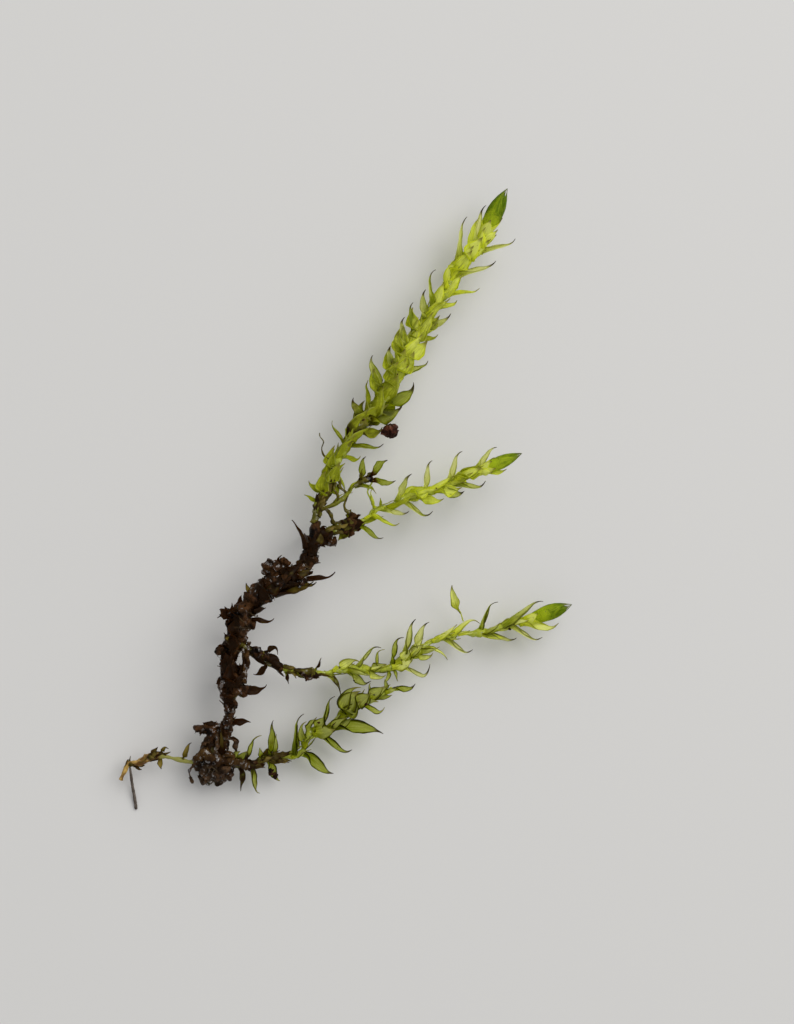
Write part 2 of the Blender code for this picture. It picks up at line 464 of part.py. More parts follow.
def build_stem(name, kind, route, bumps, sides, grown=(), sheath=None, stubs=(), lumps=()):
    samples = smooth_route(route)
    bm = bmesh.new()
    add_stem_shape(bm, samples, bumps, sides)
    stem = add_object(name, kind, bm)
    forms = [leaf_form(samples, leaf, grown=True) for leaf in grown]
    if sheath:
        forms += sheath_forms(samples, sheath)
    growths = []
    for form in forms:
        bm = bmesh.new()
        add_leaf_shape(bm, *form, GROWN_SHAPE, hollow=False)
        growths.append(bm)
    for stub in stubs:
        bm = bmesh.new()
        add_stem_shape(bm, smooth_route(stub), bumps, sides)
        growths.append(bm)
    for x, y, z, radius in lumps:
        bm = bmesh.new()
        add_lump_shape(bm, (x, y, z), (radius,) * 3, bumps, 1)
        growths.append(bm)
    if growths:
        fuse(stem, kind, growths)
    return samples


def build_leaves(prefix, samples, leaves):
    for number, leaf in enumerate(leaves, 1):
        bm = bmesh.new()
        add_leaf_shape(bm, *leaf_form(samples, leaf, grown=False))
        add_object(f"{prefix}_{number:02d}", "young_leaf", bm)


def build_bud(name, ends, radius):
    foot, tip = (seen_point(*end) for end in ends)
    along = (tip - foot).normalized()
    side = along.cross(UP).normalized()
    other = along.cross(side)
    bm = bmesh.new()
    rings = []
    for share, width in BUD_SHAPE:
        ring = []
        for k in range(BUD_SIDES):
            angle = 2 * math.pi * k / BUD_SIDES
            out = side * math.cos(angle) + other * math.sin(angle) * 0.8
            ring.append(bm.verts.new(foot.lerp(tip, share) + out * radius * width))
        rings.append(ring)
    for ring_a, ring_b in zip(rings, rings[1:]):
        bridge(bm, ring_a, ring_b)
    bm.faces.new(rings[0])
    close_end(bm, rings[-1], tip)
    add_object(name, "bud", bm)


def add_lump_shape(bm, centre, radii, bumps, detail):
    """A rough rounded lump, flattened where it meets the sheet."""
    bmesh.ops.create_icosphere(bm, subdivisions=detail, radius=1.0)
    middle = seen_point(*centre)
    for vert in bm.verts:
        out = vert.co * (1 + bumps * noise.noise(vert.co * LUMP_GRAIN + middle))
        vert.co = middle + Vector((out.x * radii[0], out.y * radii[1], out.z * radii[2]))
        vert.co.z = max(vert.co.z, 0.0)


def build_lump(name, kind, centre, radii, bumps, detail):
    bm = bmesh.new()
    add_lump_shape(bm, centre, radii, bumps, detail)
    add_object(name, kind, bm)


def build_spindle_leaf():
    foot, tip = seen_point(*SPINDLE_FOOT), seen_point(*SPINDLE_TIP)
    bm = bmesh.new()
    add_leaf_shape(bm, foot, tip, (EYE - foot).normalized(), 0.17, 0.02)
    add_object("spindle_leaf", "young_leaf", bm)


def main():
    for old in list(bpy.data.objects):
        bpy.data.objects.remove(old)
    shoot = build_stem("main_shoot", "shoot", MAIN_SHOOT, 0.25, 6, MAIN_GROWN, MAIN_SHEATH)
    build_stem("old_stem", "old_stem", OLD_STEM, 0.8, 8, OLD_GROWN, stubs=OLD_STUBS, lumps=OLD_LUMPS)
    upper = build_stem("upper_branch", "shoot", UPPER_BRANCH, 0.4, 6, UPPER_GROWN, UPPER_SHEATH)
    middle = build_stem("middle_branch", "shoot", MIDDLE_BRANCH, 0.5, 6, MIDDLE_GROWN, MIDDLE_SHEATH)
    lower = build_stem("lower_branch", "shoot", LOWER_BRANCH, 0.4, 6, LOWER_GROWN, LOWER_SHEATH)
    branchlet = build_stem("side_branchlet", "old_stem", SIDE_BRANCHLET, 0.4, 6, BRANCHLET_GROWN)
    build_stem("runner", "runner", RUNNER, 0.3, 6, RUNNER_GROWN)
    build_stem("rootlet", "rootlet", ROOTLET, 0.0, 6)
    build_leaves("main_leaf", shoot, MAIN_LEAVES)
    build_leaves("branchlet_leaf", branchlet, BRANCHLET_LEAVES)
    build_leaves("upper_leaf", upper, UPPER_LEAVES)
    build_leaves("middle_leaf", middle, MIDDLE_LEAVES)
    build_leaves("lower_leaf", lower, LOWER_LEAVES)
    build_bud("main_bud", MAIN_BUD[:2], MAIN_BUD[2])
    build_bud("upper_bud", UPPER_BUD[:2], UPPER_BUD[2])
    build_bud("middle_bud", MIDDLE_BUD[:2], MIDDLE_BUD[2])
    build_lump("base_clump", "old_stem", CLUMP_CENTRE, CLUMP_RADII, 0.5, 3)
    build_lump("soil_grain", "grain", GRAIN_CENTRE, (GRAIN_RADIUS,) * 3, 0.3, 2)
    build_spindle_leaf()


main()
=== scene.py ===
"""The looks of a picked moss shoot that lies on its side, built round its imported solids.

The shoot is about 10 mm wide and 14 mm long. Places and sizes are in millimetres in the frame of the
solids: +X to the right across the sheet that it lies on, +Y up the sheet and +Z away from it.
"""
import logging
import math
from collections.abc import Iterator, Sequence
from dataclasses import dataclass, field, replace
from enum import Enum
from functools import cache
from random import Random

import bmesh
import bpy
import numpy as np
from mathutils import Matrix, Vector, bvhtree, noise


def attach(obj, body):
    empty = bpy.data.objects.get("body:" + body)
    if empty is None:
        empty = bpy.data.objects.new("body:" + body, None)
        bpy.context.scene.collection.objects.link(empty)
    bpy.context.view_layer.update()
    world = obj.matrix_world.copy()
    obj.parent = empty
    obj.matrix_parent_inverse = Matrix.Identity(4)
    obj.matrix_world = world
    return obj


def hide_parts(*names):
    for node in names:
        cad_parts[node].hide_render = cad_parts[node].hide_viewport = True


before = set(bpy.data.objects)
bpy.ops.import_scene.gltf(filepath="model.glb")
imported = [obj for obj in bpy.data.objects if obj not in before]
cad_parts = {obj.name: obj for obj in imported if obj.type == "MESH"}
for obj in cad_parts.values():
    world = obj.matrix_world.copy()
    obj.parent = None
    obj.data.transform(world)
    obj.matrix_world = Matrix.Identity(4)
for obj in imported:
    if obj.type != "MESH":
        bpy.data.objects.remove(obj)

Row = tuple[float, ...]
Rows = tuple[Row, ...]
Span = tuple[float, float]
Array = np.ndarray
Values = Array | float
Faces = list[list[int]]
Socket = bpy.types.NodeSocket

MM = 0.001
EYE = np.array((-9.289, -5.287, 43.593))  # the shoot is seen from here
SEEN_LEVEL = 0.7  # plan places are where things show on this level, seen from EYE
TOP = 1.38  # nothing stands higher than this
LOOSE_TOP = 1.34  # hairs and the tips of worn leaves stay below this
UP = np.array((0.0, 0.0, 1.0))
FULL_TURN = 6.28  # random turns and phases are drawn up to this, in radians
SPIRAL_ANGLE = math.radians(137.5)  # from one leaf to the next round a stem
FLANK = 0.8  # leaves by rule keep off the two flanks, whose leaves are listed one by one
FULL_WIDTH_SHARE = 0.32  # a leaf's real width is at least this share of its length
FLAT_WIDTH = 1.12  # a blade's width when flattened, for 1 when cupped
FOOT_SLIDE = (-0.15, 0.02)  # how far along the stem a listed foot may lie from the nearest place
TUBE_END = 0.4  # how far a tube's ends bulge, as a share of the radius
TIP_HALF_WIDTH = 0.003  # half the width that a leaf still has at its tip
THINNEST_STEM = 0.02  # a leaf's foot bends round no thinner stem
WIDEST_CLASP = 2.2  # the greatest half angle that a leaf's foot bends round
WORN_FULL_RADIUS = 0.16  # worn leaves have their full width on a stem of this radius
LUMP_DENTS = ((0.8, 1.2), (0.35, 0.6))  # size and height of a lump's dents, for a radius of 1
STRAND_RELIEF = ((0.14, 0.6), (0.05, 0.5))  # size of a strand's lumps, and their share of its radius

log = logging.getLogger("moss_shoot")


def unit(vectors: Array) -> Array:
    """Scales vectors, one or many, to length 1."""
    return vectors / np.maximum(np.linalg.norm(vectors, axis=-1, keepdims=True), 1e-9)


def square_to(vector: Array, axis: Array) -> Array:
    """The part of a vector that stands square to an axis of length 1."""
    return vector - axis * vector.dot(axis)


def smooth(low: float, high: float, value: Array) -> Array:
    """Rises softly from 0 at low to 1 at high."""
    t = np.clip((value - low) / (high - low), 0.0, 1.0)
    return t * t * (3 - 2 * t)


def blend(a: Array, b: Array, share: Array) -> Array:
    """Goes from a to b as share goes from 0 to 1."""
    return a + (b - a) * share


def three(rng: Random, low: float, high: float) -> Array:
    """Draws three numbers between low and high."""
    return np.array([rng.uniform(low, high) for _ in range(3)])


def seen_point(x: float, y: float, z: float) -> Array:
    """The point at height z that shows at plan place x, y from the eye."""
    share = (z - SEEN_LEVEL) / (EYE[2] - SEEN_LEVEL)
    return np.array((x + (EYE[0] - x) * share, y + (EYE[1] - y) * share, z))


def rough_values(points: Array, size: float, shift: float = 0.0) -> Array:
    """Smooth noise of about -0.5 to 0.5 at points, with lumps of a size; a shift moves the pattern."""
    return np.array([noise.noise(Vector(place)) for place in points / size + shift])


def rough_steps(points: Array, size: float, shift: float, apart: float) -> Array:
    """Smooth noise along each of the three axes, whose patterns are moved apart."""
    return np.stack([rough_values(points, size, shift + apart * k) for k in range(3)], axis=1)


# Finishes

Sockets = bpy.types.bpy_prop_collection


class Wiring:
    """Adds and joins the nodes of one material or node group."""

    def __init__(self, tree: bpy.types.NodeTree) -> None:
        """Starts on an empty node tree."""
        self.tree = tree
        tree.nodes.clear()

    def node(self, kind: str, **settings: object) -> bpy.types.Node:
        """Adds a node.

        Args:
            kind: Its type.
            settings: Its options.

        Returns:
            The node.
        """
        made = self.tree.nodes.new(kind)
        for name, value in settings.items():
            setattr(made, name, value)
        return made

    def feed(self, socket: Socket, value: object) -> None:
        """Gives an input what it works with.

        Args:
            socket: The input.
            value: An output that is joined to it, a colour or a number.
        """
        if isinstance(value, Socket):
            self.tree.links.new(value, socket)
        elif isinstance(value, tuple):
            socket.default_value = (*value, 1.0)
        else:
            socket.default_value = value

    def result(self, kind: str, output: int | str, inputs: dict[int | str, object],
               **settings: object) -> Socket:
        """Adds a node, gives its inputs what they work with and takes one of its outputs.

        Args:
            kind: Its type.
            output: The name or number of the output.
            inputs: What each named or numbered input works with.
            settings: Its options.

        Returns:
            The output.
        """
        made = self.node(kind, **settings)
        for name, value in inputs.items():
            self.feed(made.inputs[name], value)
        return made.outputs[output]

    def mix(self, share: object, a: object, b: object) -> Socket:
        """Mixes a share of colour b into colour a."""
        return self.result("ShaderNodeMix", 2, {0: share, 6: a, 7: b}, data_type="RGBA")

    def math(self, operation: str, a: object, b: object) -> Socket:
        """Works out one number from two."""
        return self.result("ShaderNodeMath", 0, {0: a, 1: b}, operation=operation)

    def ramp(self, value: object, low: object, high: float, start: float = 0.0,
             end: object = 1.0) -> Socket:
        """Goes softly from start to end as a value goes from low to high."""
        inputs = dict(enumerate((value, low, high, start, end)))
        return self.result("ShaderNodeMapRange", "Result", inputs, interpolation_type="SMOOTHSTEP")

    def value(self, name: str) -> Socket:
        """Reads one of the mesh's surface values."""
        return self.node("ShaderNodeAttribute", attribute_name=name).outputs["Fac"]

    def noise(self, size: object, detail: float = 3.0) -> Socket:
        """Smooth noise of 0 to 1 over the piece, with lumps of a size in millimetres."""
        place, scale = self.result("ShaderNodeTexCoord", "Object", {}), self.math("DIVIDE", 1.0 / MM, size)
        return self.result("ShaderNodeTexNoise", "Fac", {"Vector": place, "Scale": scale, "Detail": detail})

    def streaks(self) -> Socket:
        """Draws noise out along a blade, like its rows of long cells.

        Returns:
            The noise, from 0 to 1.
        """
        scales = enumerate((("along", 3.5), ("across", 7.0), ("tint", 37.0)))
        inputs = {number: self.math("MULTIPLY", self.value(name), scale) for number, (name, scale) in scales}
        place = self.result("ShaderNodeCombineXYZ", 0, inputs)
        return self.result("ShaderNodeTexNoise", "Fac", {"Vector": place, "Scale": 1.0})

    def about(self, noise_value: object, height: float) -> Socket:
        """Shifts noise of 0 to 1 so that it goes to both sides of 0, up to half its height."""
        return self.math("MULTIPLY", self.math("SUBTRACT", noise_value, 0.5), height)

    def bump(self, height: object, distance: float, strength: float) -> Socket:
        """Relief where a height of 1 stands out by a distance in millimetres."""
        inputs = {"Strength": strength, "Distance": distance * MM, "Height": height}
        return self.result("ShaderNodeBump", "Normal", inputs)

    def group(self, tree: bpy.types.NodeTree, **inputs: object) -> Sockets:
        """Places a node group.

        Args:
            tree: The group.
            inputs: What each of its inputs works with.

        Returns:
            Its outputs.
        """
        made = self.node("ShaderNodeGroup", node_tree=tree)
        for name, value in inputs.items():
            self.feed(made.inputs[name], value)
        return made.outputs

    def surface(self, shader: Socket) -> None:
        """Ends a material with its shader."""
        self.feed(self.node("ShaderNodeOutputMaterial").inputs["Surface"], shader)


class Kind(Enum):
    """The kinds of socket that a node group has."""

    NUMBER = "NodeSocketFloat"
    COLOUR = "NodeSocketColor"


def new_group(name: str, inputs: dict[str, Kind],
              outputs: dict[str, Kind]) -> tuple[Wiring, Sockets, Sockets]:
    """Starts a shader node group.

    Args:
        name: The group's name.
        inputs: Name and kind of each input.
        outputs: Name and kind of each output.

    Returns:
        The wiring, the inputs' sockets and the outputs' sockets.
    """
    tree = bpy.data.node_groups.new(name, "ShaderNodeTree")
    for direction, sockets in (("INPUT", inputs), ("OUTPUT", outputs)):
        for label, kind in sockets.items():
            tree.interface.new_socket(label, in_out=direction, socket_type=kind.value)
    wiring = Wiring(tree)
    return wiring, wiring.node("NodeGroupInput").outputs, wiring.node("NodeGroupOutput").inputs


def make_mottle_group() -> bpy.types.NodeTree:
    """Makes soft blotches, a finer mottle and sparse specks, each of its own size in millimetres.

    Returns:
        The node group.
    """
    w, given, result = new_group(
        "mottle", {"BlotchSize": Kind.NUMBER, "GrainSize": Kind.NUMBER, "SpeckShare": Kind.NUMBER},
        {"Blotches": Kind.NUMBER, "Grain": Kind.NUMBER, "Specks": Kind.NUMBER},
    )
    w.feed(result["Blotches"], w.ramp(w.noise(given["BlotchSize"]), 0.32, 0.68))
    w.feed(result["Grain"], w.ramp(w.noise(given["GrainSize"]), 0.3, 0.7))
    specks = w.ramp(w.noise(0.09, 1.0), 0.70, 0.76)
    w.feed(result["Specks"], w.math("MULTIPLY", specks, given["SpeckShare"]))
    return w.tree


# A leaf finish's fields that are inputs of the leaf drawing, there with a capital
LEAF_COLOURS = ("body", "deep", "through", "dense", "pale", "line", "tip", "dead", "rust")
LEAF_SHARES = ("rim", "outline", "fade")


def make_leaf_group() -> bpy.types.NodeTree:
    """Makes a blade's drawing: midrib, pale field that is partly painted highlight, dark outline, cells,
    painted shade at the foot, brown tip and age.

    Returns:
        The node group.
    """
    inputs = {name.capitalize(): Kind.COLOUR for name in LEAF_COLOURS}
    inputs |= {name.capitalize(): Kind.NUMBER for name in LEAF_SHARES}
    w, given, result = new_group(
        "leaf_drawing", inputs,
        {"Front": Kind.COLOUR, "Back": Kind.COLOUR, "Height": Kind.NUMBER, "Roughness": Kind.NUMBER},
    )
    along, tint, age = w.value("along"), w.value("tint"), w.value("age")
    off = w.math("ABSOLUTE", w.value("across"), 0.0)
    broad, patches, cells, streaks = w.noise(0.4, 2.0), w.noise(0.10, 2.0), w.noise(0.03, 2.0), w.streaks()

    # Deep green goes by tint and blotches, and also lies on the midrib and in streaks; the darker foot is
    # painted shade, where the leaves overlap at the stem
    mottle = w.math("ADD", w.math("MULTIPLY", broad, 0.6), w.math("MULTIPLY", patches, 0.5))
    depth = w.math("ADD", tint, mottle)
    deep = w.math("MAXIMUM", w.ramp(depth, 0.65, 1.55, 0.0, 0.95), w.ramp(along, 0.0, 0.4, 0.3, 0.0))
    deep = w.math("MAXIMUM", deep, w.ramp(off, 0.02, 0.12, 0.4, 0.0))
    deep = w.math("ADD", deep, w.ramp(cells, 0.35, 0.7, -0.1, 0.1))
    deep = w.math("ADD", deep, w.ramp(streaks, 0.38, 0.66, -0.25, 0.35))

    # The pale field fills the outer part, but for the margin; on the green leaves its colour is partly
    # painted highlight, for sheen and for the floor's light seen through the thin leaf
    pale = w.math("MULTIPLY", w.ramp(along, 0.10, 0.55), w.ramp(off, 0.60, 0.80, 0.65, 0.0))
    pale = w.math("MULTIPLY", pale, w.ramp(depth, 0.60, 1.50, 1.0, given["Fade"]))

    # The outline is stronger on deep green leaves
    outline = w.math("MULTIPLY", w.ramp(off, given["Rim"], 0.95), given["Outline"])
    outline = w.math("MULTIPLY", outline, w.ramp(tint, 0.1, 1.3, 0.5, 1.0))

    # The tip and the dead patches have uneven borders
    tip = w.ramp(w.math("ADD", along, w.about(broad, 0.3)), 0.74, 0.95, 0.0, 0.95)
    patch = w.math("ADD", age, w.about(w.noise(0.16), 0.7))
    dead = w.math("MULTIPLY", w.ramp(patch, 0.28, 0.75), w.ramp(age, 0.02, 0.2))

    sides = (("Front", "Body", "Deep", "Dead"), ("Back", "Through", "Dense", "Rust"))
    for side, fresh, dense, gone in sides:
        colour = given[fresh]
        layers = ((deep, dense), (pale, "Pale"), (outline, "Line"), (tip, "Tip"), (dead, gone))
        for share, other in layers:
            colour = w.mix(share, colour, given[other])
        w.feed(result[side], colour)
    w.feed(result["Height"], w.math("ADD", streaks, w.math("ADD", cells, dead)))
    w.feed(result["Roughness"], w.ramp(cells, 0.2, 0.8, 0.28, 0.45))
    return w.tree


@dataclass(frozen=True)
class Groups:
    """The node groups that the finishes share."""

    drawing: bpy.types.NodeTree
    mottle: bpy.types.NodeTree


@cache
def shared_groups() -> Groups:
    """The node groups that the finishes share, made once."""
    return Groups(make_leaf_group(), make_mottle_group())


def new_material(name: str) -> tuple[bpy.types.Material, Wiring]:
    """Starts a material.

    Args:
        name: Its name.

    Returns:
        The material and its wiring.
    """
    made = bpy.data.materials.new(name)
    made.use_nodes = True
    return made, Wiring(made.node_tree)


@dataclass(frozen=True)
class LeafFinish:
    """A thin leaf that light shines through."""

    name: str
    body: Row  # the upper side
    # deep and dense are also the colours of the painted shade at a leaf's foot
    deep: Row  # the same where it is deep green
    through: Row  # the light that comes through
    dense: Row  # the same where it is deep green
    # pale is partly a painted highlight on the green leaves: sheen and the floor's light seen through the
    # leaf
    pale: Row = (0.98, 0.985, 0.66)  # the inner field
    line: Row = (0.11, 0.12, 0.008)  # the outline
    tip: Row = (0.15, 0.11, 0.05)
    dead: Row = (0.030, 0.014, 0.004)
    rust: Row = (0.22, 0.11, 0.02)  # the light that comes through where it is dead
    rim: float = 0.78  # where the outline starts, as a share of half the width
    outline: float = 0.9  # how strong it is
    fade: float = 0.4  # how much of the pale field is left where the leaf is deep green
    clear: float = 0.90  # the share of light that goes through
    shine: float = 0.12

    def make(self) -> bpy.types.Material:
        """Builds the material.

        Returns:
            The material.
        """
        made, w = new_material(self.name)
        inputs = {name.capitalize(): getattr(self, name) for name in LEAF_COLOURS + LEAF_SHARES}
        leaf = w.group(shared_groups().drawing, **inputs)
        dirt = w.group(shared_groups().mottle, BlotchSize=0.5, GrainSize=0.06, SpeckShare=0.5)
        front = w.node("ShaderNodeBsdfPrincipled")
        w.feed(front.inputs["Base Color"], w.mix(dirt["Specks"], leaf["Front"], self.tip))
        w.feed(front.inputs["Roughness"], leaf["Roughness"])
        w.feed(front.inputs["Specular IOR Level"], self.shine)
        w.feed(front.inputs["Normal"], w.bump(leaf["Height"], 0.008, 0.35))
        back = w.node("ShaderNodeBsdfTranslucent")
        w.feed(back.inputs["Color"], w.mix(dirt["Specks"], leaf["Back"], self.tip))
        both = w.node("ShaderNodeMixShader")
        for number, value in enumerate((self.clear, front.outputs[0], back.outputs[0])):
            w.feed(both.inputs[number], value)
        w.surface(both.outputs[0])
        return made


@dataclass(frozen=True)
class BarkFinish:
    """A solid surface with blotches, fine grain and wet spots, that is green where its age is low."""

    name: str
    dark: Row
    light: Row
    accent: Row
    fresh: Row = (0.36, 0.42, 0.05)  # where it is young
    green: Row = (0.15, 0.19, 0.015)  # the young part's darker grain
    accent_share: float = 0.6
    grain: float = 0.03  # the size of its grain
    relief: float = 0.010  # how far the grain stands out
    shine: float = 0.06
    wet: float = 1.0  # how much of it glistens

    def make(self) -> bpy.types.Material:
        """Builds the material.

        Returns:
            The material.
        """
        made, w = new_material(self.name)
        spots = w.group(shared_groups().mottle, BlotchSize=0.30, GrainSize=self.grain, SpeckShare=0.6)
        middle = w.noise(self.grain * 5)
        colour = w.mix(w.ramp(middle, 0.44, 0.62), self.dark, self.light)
        colour = w.mix(w.math("MULTIPLY", spots["Blotches"], self.accent_share), colour, self.accent)
        colour = w.mix(w.math("MULTIPLY", spots["Grain"], 0.5), colour, self.dark)
        green = w.mix(w.math("MULTIPLY", spots["Grain"], w.value("tint")), self.fresh, self.green)
        age = w.math("ADD", w.value("age"), w.about(middle, 0.4))
        colour = w.mix(w.ramp(age, 0.15, 0.65), green, colour)
        drops = w.ramp(w.noise(0.09, 1.0), 0.57, 0.62, 0.0, self.wet)
        bark = w.node("ShaderNodeBsdfPrincipled")
        inputs = {
            "Base Color": w.mix(spots["Specks"], colour, self.dark),
            "Roughness": w.ramp(spots["Grain"], 0.0, 1.0, 0.35, 0.6),
            "Specular IOR Level": self.shine,
            "Coat Weight": w.math("MULTIPLY", drops, w.ramp(w.noise(0.5, 1.0), 0.40, 0.50)),
            "Coat Roughness": 0.05,
            "Coat IOR": 2.2,
            "Coat Normal": w.bump(w.noise(0.05, 1.0), 0.05, 0.8),
            "Normal": w.bump(w.math("ADD", spots["Grain"], middle), self.relief, 0.7),
        }
        for name, value in inputs.items():
            w.feed(bark.inputs[name], value)
        w.surface(bark.outputs[0])
        return made


class Look(Enum):
    """The finishes of the shoot's pieces."""

    LEAF = LeafFinish(
        "young_leaf_blade", (0.50, 0.52, 0.05), (0.16, 0.18, 0.004), (0.965, 0.975, 0.52),
        (0.56, 0.62, 0.03), outline=0.6,
    )
    RIMMED_LEAF = replace(LEAF, name="rimmed_leaf_blade", line=(0.055, 0.055, 0.004), rim=0.60, outline=1.0)
    # The pale field and the pale outline of the clasping leaves are partly painted highlight: sheen and the
    # floor's light seen through the stacked leaves
    CLASPING = LeafFinish(
        "clasping_leaf_blade", (0.82, 0.88, 0.035), (0.28, 0.31, 0.001), (0.92, 0.97, 0.12),
        (0.56, 0.61, 0.006), pale=(0.93, 0.96, 0.30), line=(0.58, 0.60, 0.24), tip=(0.30, 0.27, 0.05),
        outline=0.35, fade=0.1, clear=0.44, shine=0.06,
    )
    # Its paler field is partly painted highlight
    RIMMED_CLASPING = replace(
        CLASPING, name="rimmed_clasping_blade", body=(0.85, 0.90, 0.06), through=(0.94, 0.97, 0.26),
        pale=(0.96, 0.97, 0.50), line=(0.055, 0.055, 0.004), rim=0.60, outline=1.0, fade=0.35,
    )
    BUD = LeafFinish(
        "bud_leaf_blade", (0.66, 0.76, 0.02), (0.11, 0.205, 0.002), (0.88, 0.94, 0.12),
        (0.46, 0.65, 0.02), pale=(0.72, 0.84, 0.06), line=(0.22, 0.32, 0.01), tip=(0.30, 0.33, 0.10),
        fade=0.1, clear=0.62, shine=0.08,
    )
    WORN = LeafFinish(
        "worn_leaf_blade", (0.16, 0.13, 0.012), (0.06, 0.045, 0.004), (0.66, 0.55, 0.10),
        (0.34, 0.24, 0.03), pale=(0.60, 0.46, 0.12), line=(0.05, 0.028, 0.006), tip=(0.05, 0.028, 0.008),
        dead=(0.020, 0.0085, 0.002), rust=(0.30, 0.15, 0.03), clear=0.5, shine=0.10,
    )
    STEM = BarkFinish(
        "shoot_stem_skin", (0.040, 0.028, 0.004), (0.12, 0.098, 0.012), (0.17, 0.15, 0.018),
        fresh=(0.42, 0.47, 0.05), green=(0.24, 0.28, 0.015), relief=0.008, wet=0.5,
    )
    CORD = BarkFinish(
        "old_cord_skin", (0.022, 0.009, 0.003), (0.070, 0.032, 0.009), (0.12, 0.062, 0.014), relief=0.012,
    )
    BARK = BarkFinish(
        "old_stem_bark", (0.0025, 0.0010, 0.0004), (0.047, 0.019, 0.008), (0.12, 0.050, 0.013),
        accent_share=0.5, wet=0.8,
    )
    CLUMP = BarkFinish(
        "clump_skin", (0.006, 0.0018, 0.0006), (0.056, 0.025, 0.010), (0.17, 0.10, 0.05),
        accent_share=0.5, wet=0.7,
    )
    RUNNER = BarkFinish(
        "runner_skin", (0.12, 0.055, 0.015), (0.58, 0.37, 0.12), (0.64, 0.42, 0.10),
        fresh=(0.31, 0.30, 0.08), green=(0.19, 0.18, 0.03), relief=0.006, wet=0.3,
    )
    ROOTLET = BarkFinish(
        "rootlet_skin", (0.05, 0.038, 0.030), (0.12, 0.095, 0.078), (0.24, 0.20, 0.165),
        relief=0.002, wet=0.6,
    )
    FIBRE = BarkFinish(
        "rhizoid_skin", (0.018, 0.010, 0.004), (0.070, 0.042, 0.018), (0.16, 0.11, 0.05),
        relief=0.002, wet=0.3,
    )
    GRAIN = BarkFinish(
        "grain_skin", (0.022, 0.007, 0.005), (0.15, 0.045, 0.028), (0.22, 0.075, 0.038), wet=0.2,
    )


@cache
def material(look: Look) -> bpy.types.Material:
    """The material of a look, made once."""
    return look.value.make()


# Forms


def put(name: str, data: bpy.types.ID) -> bpy.types.Object:
    """Puts something in the scene.

    Args:
        name: Its name.
        data: The mesh, light or camera.

    Returns:
        The new object.
    """
    made = bpy.data.objects.new(name, data)
    bpy.context.scene.collection.objects.link(made)
    return made


def grid_faces(rows: int, columns: int, closed: bool) -> Faces:
    """Lists the faces of a grid whose points are numbered row by row.

    Args:
        rows: How many rows it has.
        columns: How many points a row has.
        closed: Whether each row's last point joins its first.

    Returns:
        The faces, as four point numbers each.
    """
    steps = columns if closed else columns - 1
    row, column = np.meshgrid(np.arange(rows - 1), np.arange(steps), indexing="ij")
    follow = (column + 1) % columns
    here, there = row * columns, (row + 1) * columns
    corners = (here + column, here + follow, there + follow, there + column)
    return np.stack(corners, axis=-1).reshape(-1, 4).tolist()


@dataclass
class Skin:
    """Points, faces and surface values of one piece while it is made, in millimetres."""

    points: list[Array] = field(default_factory=list)
    faces: Faces = field(default_factory=list)
    values: dict[str, list[Array]] = field(default_factory=dict)
    count: int = 0

    def add(self, points: Array, faces: Faces, **values: Values) -> None:
        """Adds a closed shell.

        Args:
            points: Its points, one a row.
            faces: Its faces, as lists of point numbers within the shell.
            values: Surface values, one for each point or one for all: how far along and across the
                piece a point is, its tint, and its age from 0, fresh, to 1, dead.
        """
        size = len(points)
        self.points.append(points)
        self.faces.extend([[k + self.count for k in face] for face in faces])
        for name in ("along", "across", "tint", "age"):
            given = np.asarray(values.get(name, 0.0), dtype=float)
            self.values.setdefault(name, []).append(np.broadcast_to(given, (size,)))
        self.count += size

    def add_leaf(self, sheet: Array, normal: Array, above: Values,
                 below: Values, tint: Values, age: Values) -> None:
        """Adds a leaf, as a thin closed shell.

        Args:
            sheet: Its points, in rows from foot to tip.
            normal: The direction to its upper side, at each point.
            above: How far the upper side stands off the sheet, for all or for each point.
            below: How far the lower side does.
            tint: Its tint, for all or for each row.
            age: Its age, for all or for each row.
        """
        shape = rows, columns = sheet.shape[:2]
        size = rows * columns
        upper = sheet + normal * np.broadcast_to(above, shape)[..., None]
        lower = sheet - normal * np.broadcast_to(below, shape)[..., None]
        number = np.arange(size).reshape(shape)
        rim = np.concatenate((number[0, :-1], number[:-1, -1], number[-1, :0:-1], number[:0:-1, 0]))
        follow = np.roll(rim, -1)
        faces = grid_faces(rows, columns, closed=False)
        back = [[k + size for k in reversed(face)] for face in faces]
        edge = np.stack((rim + size, follow + size, follow, rim), axis=1).tolist()
        given = {
            "along": np.linspace(0, 1, rows)[:, None], "across": np.linspace(-1, 1, columns),
            "tint": np.reshape(tint, (-1, 1)), "age": np.reshape(age, (-1, 1)),
        }
        values = {name: np.tile(np.broadcast_to(value, shape).ravel(), 2) for name, value in given.items()}
        self.add(np.concatenate((upper.reshape(-1, 3), lower.reshape(-1, 3))), faces + back + edge, **values)

    def piece(self, name: str, look: Look, slot: str, *nodes: str) -> None:
        """Turns the skin into a finished piece of the model.

        Args:
            name: The piece's name.
            look: Its finish.
            slot: Not used.
            nodes: The solids that it stands for.
        """
        points = np.concatenate(self.points)
        points[:, 2] = np.clip(points[:, 2], 0.0, TOP)
        mesh = bpy.data.meshes.new(name)
        mesh.from_pydata((points * MM).tolist(), [], self.faces)
        for label, parts in self.values.items():
            attribute = mesh.attributes.new(label, "FLOAT", "POINT")
            attribute.data.foreach_set("value", np.concatenate(parts).astype(np.float32))
        mesh.polygons.foreach_set("use_smooth", [True] * len(mesh.polygons))
        mesh.materials.append(material(look))
        made = put(name, mesh)
        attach(made, "root")
        if nodes:
            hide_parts(*nodes)
        log.info("  %s: %d points", name, self.count)


def steady_sides(ways: Array) -> Array:
    """Finds a direction across a line that turns no more than the line does.

    Args:
        ways: The line's direction, at each of its places.

    Returns:
        The direction across it, at each place.
    """
    side = unit(np.cross(ways[0], UP) + 1e-6)
    sides = np.empty_like(ways)
    for k, way in enumerate(ways):
        side = unit(square_to(side, way))
        sides[k] = side
    return sides


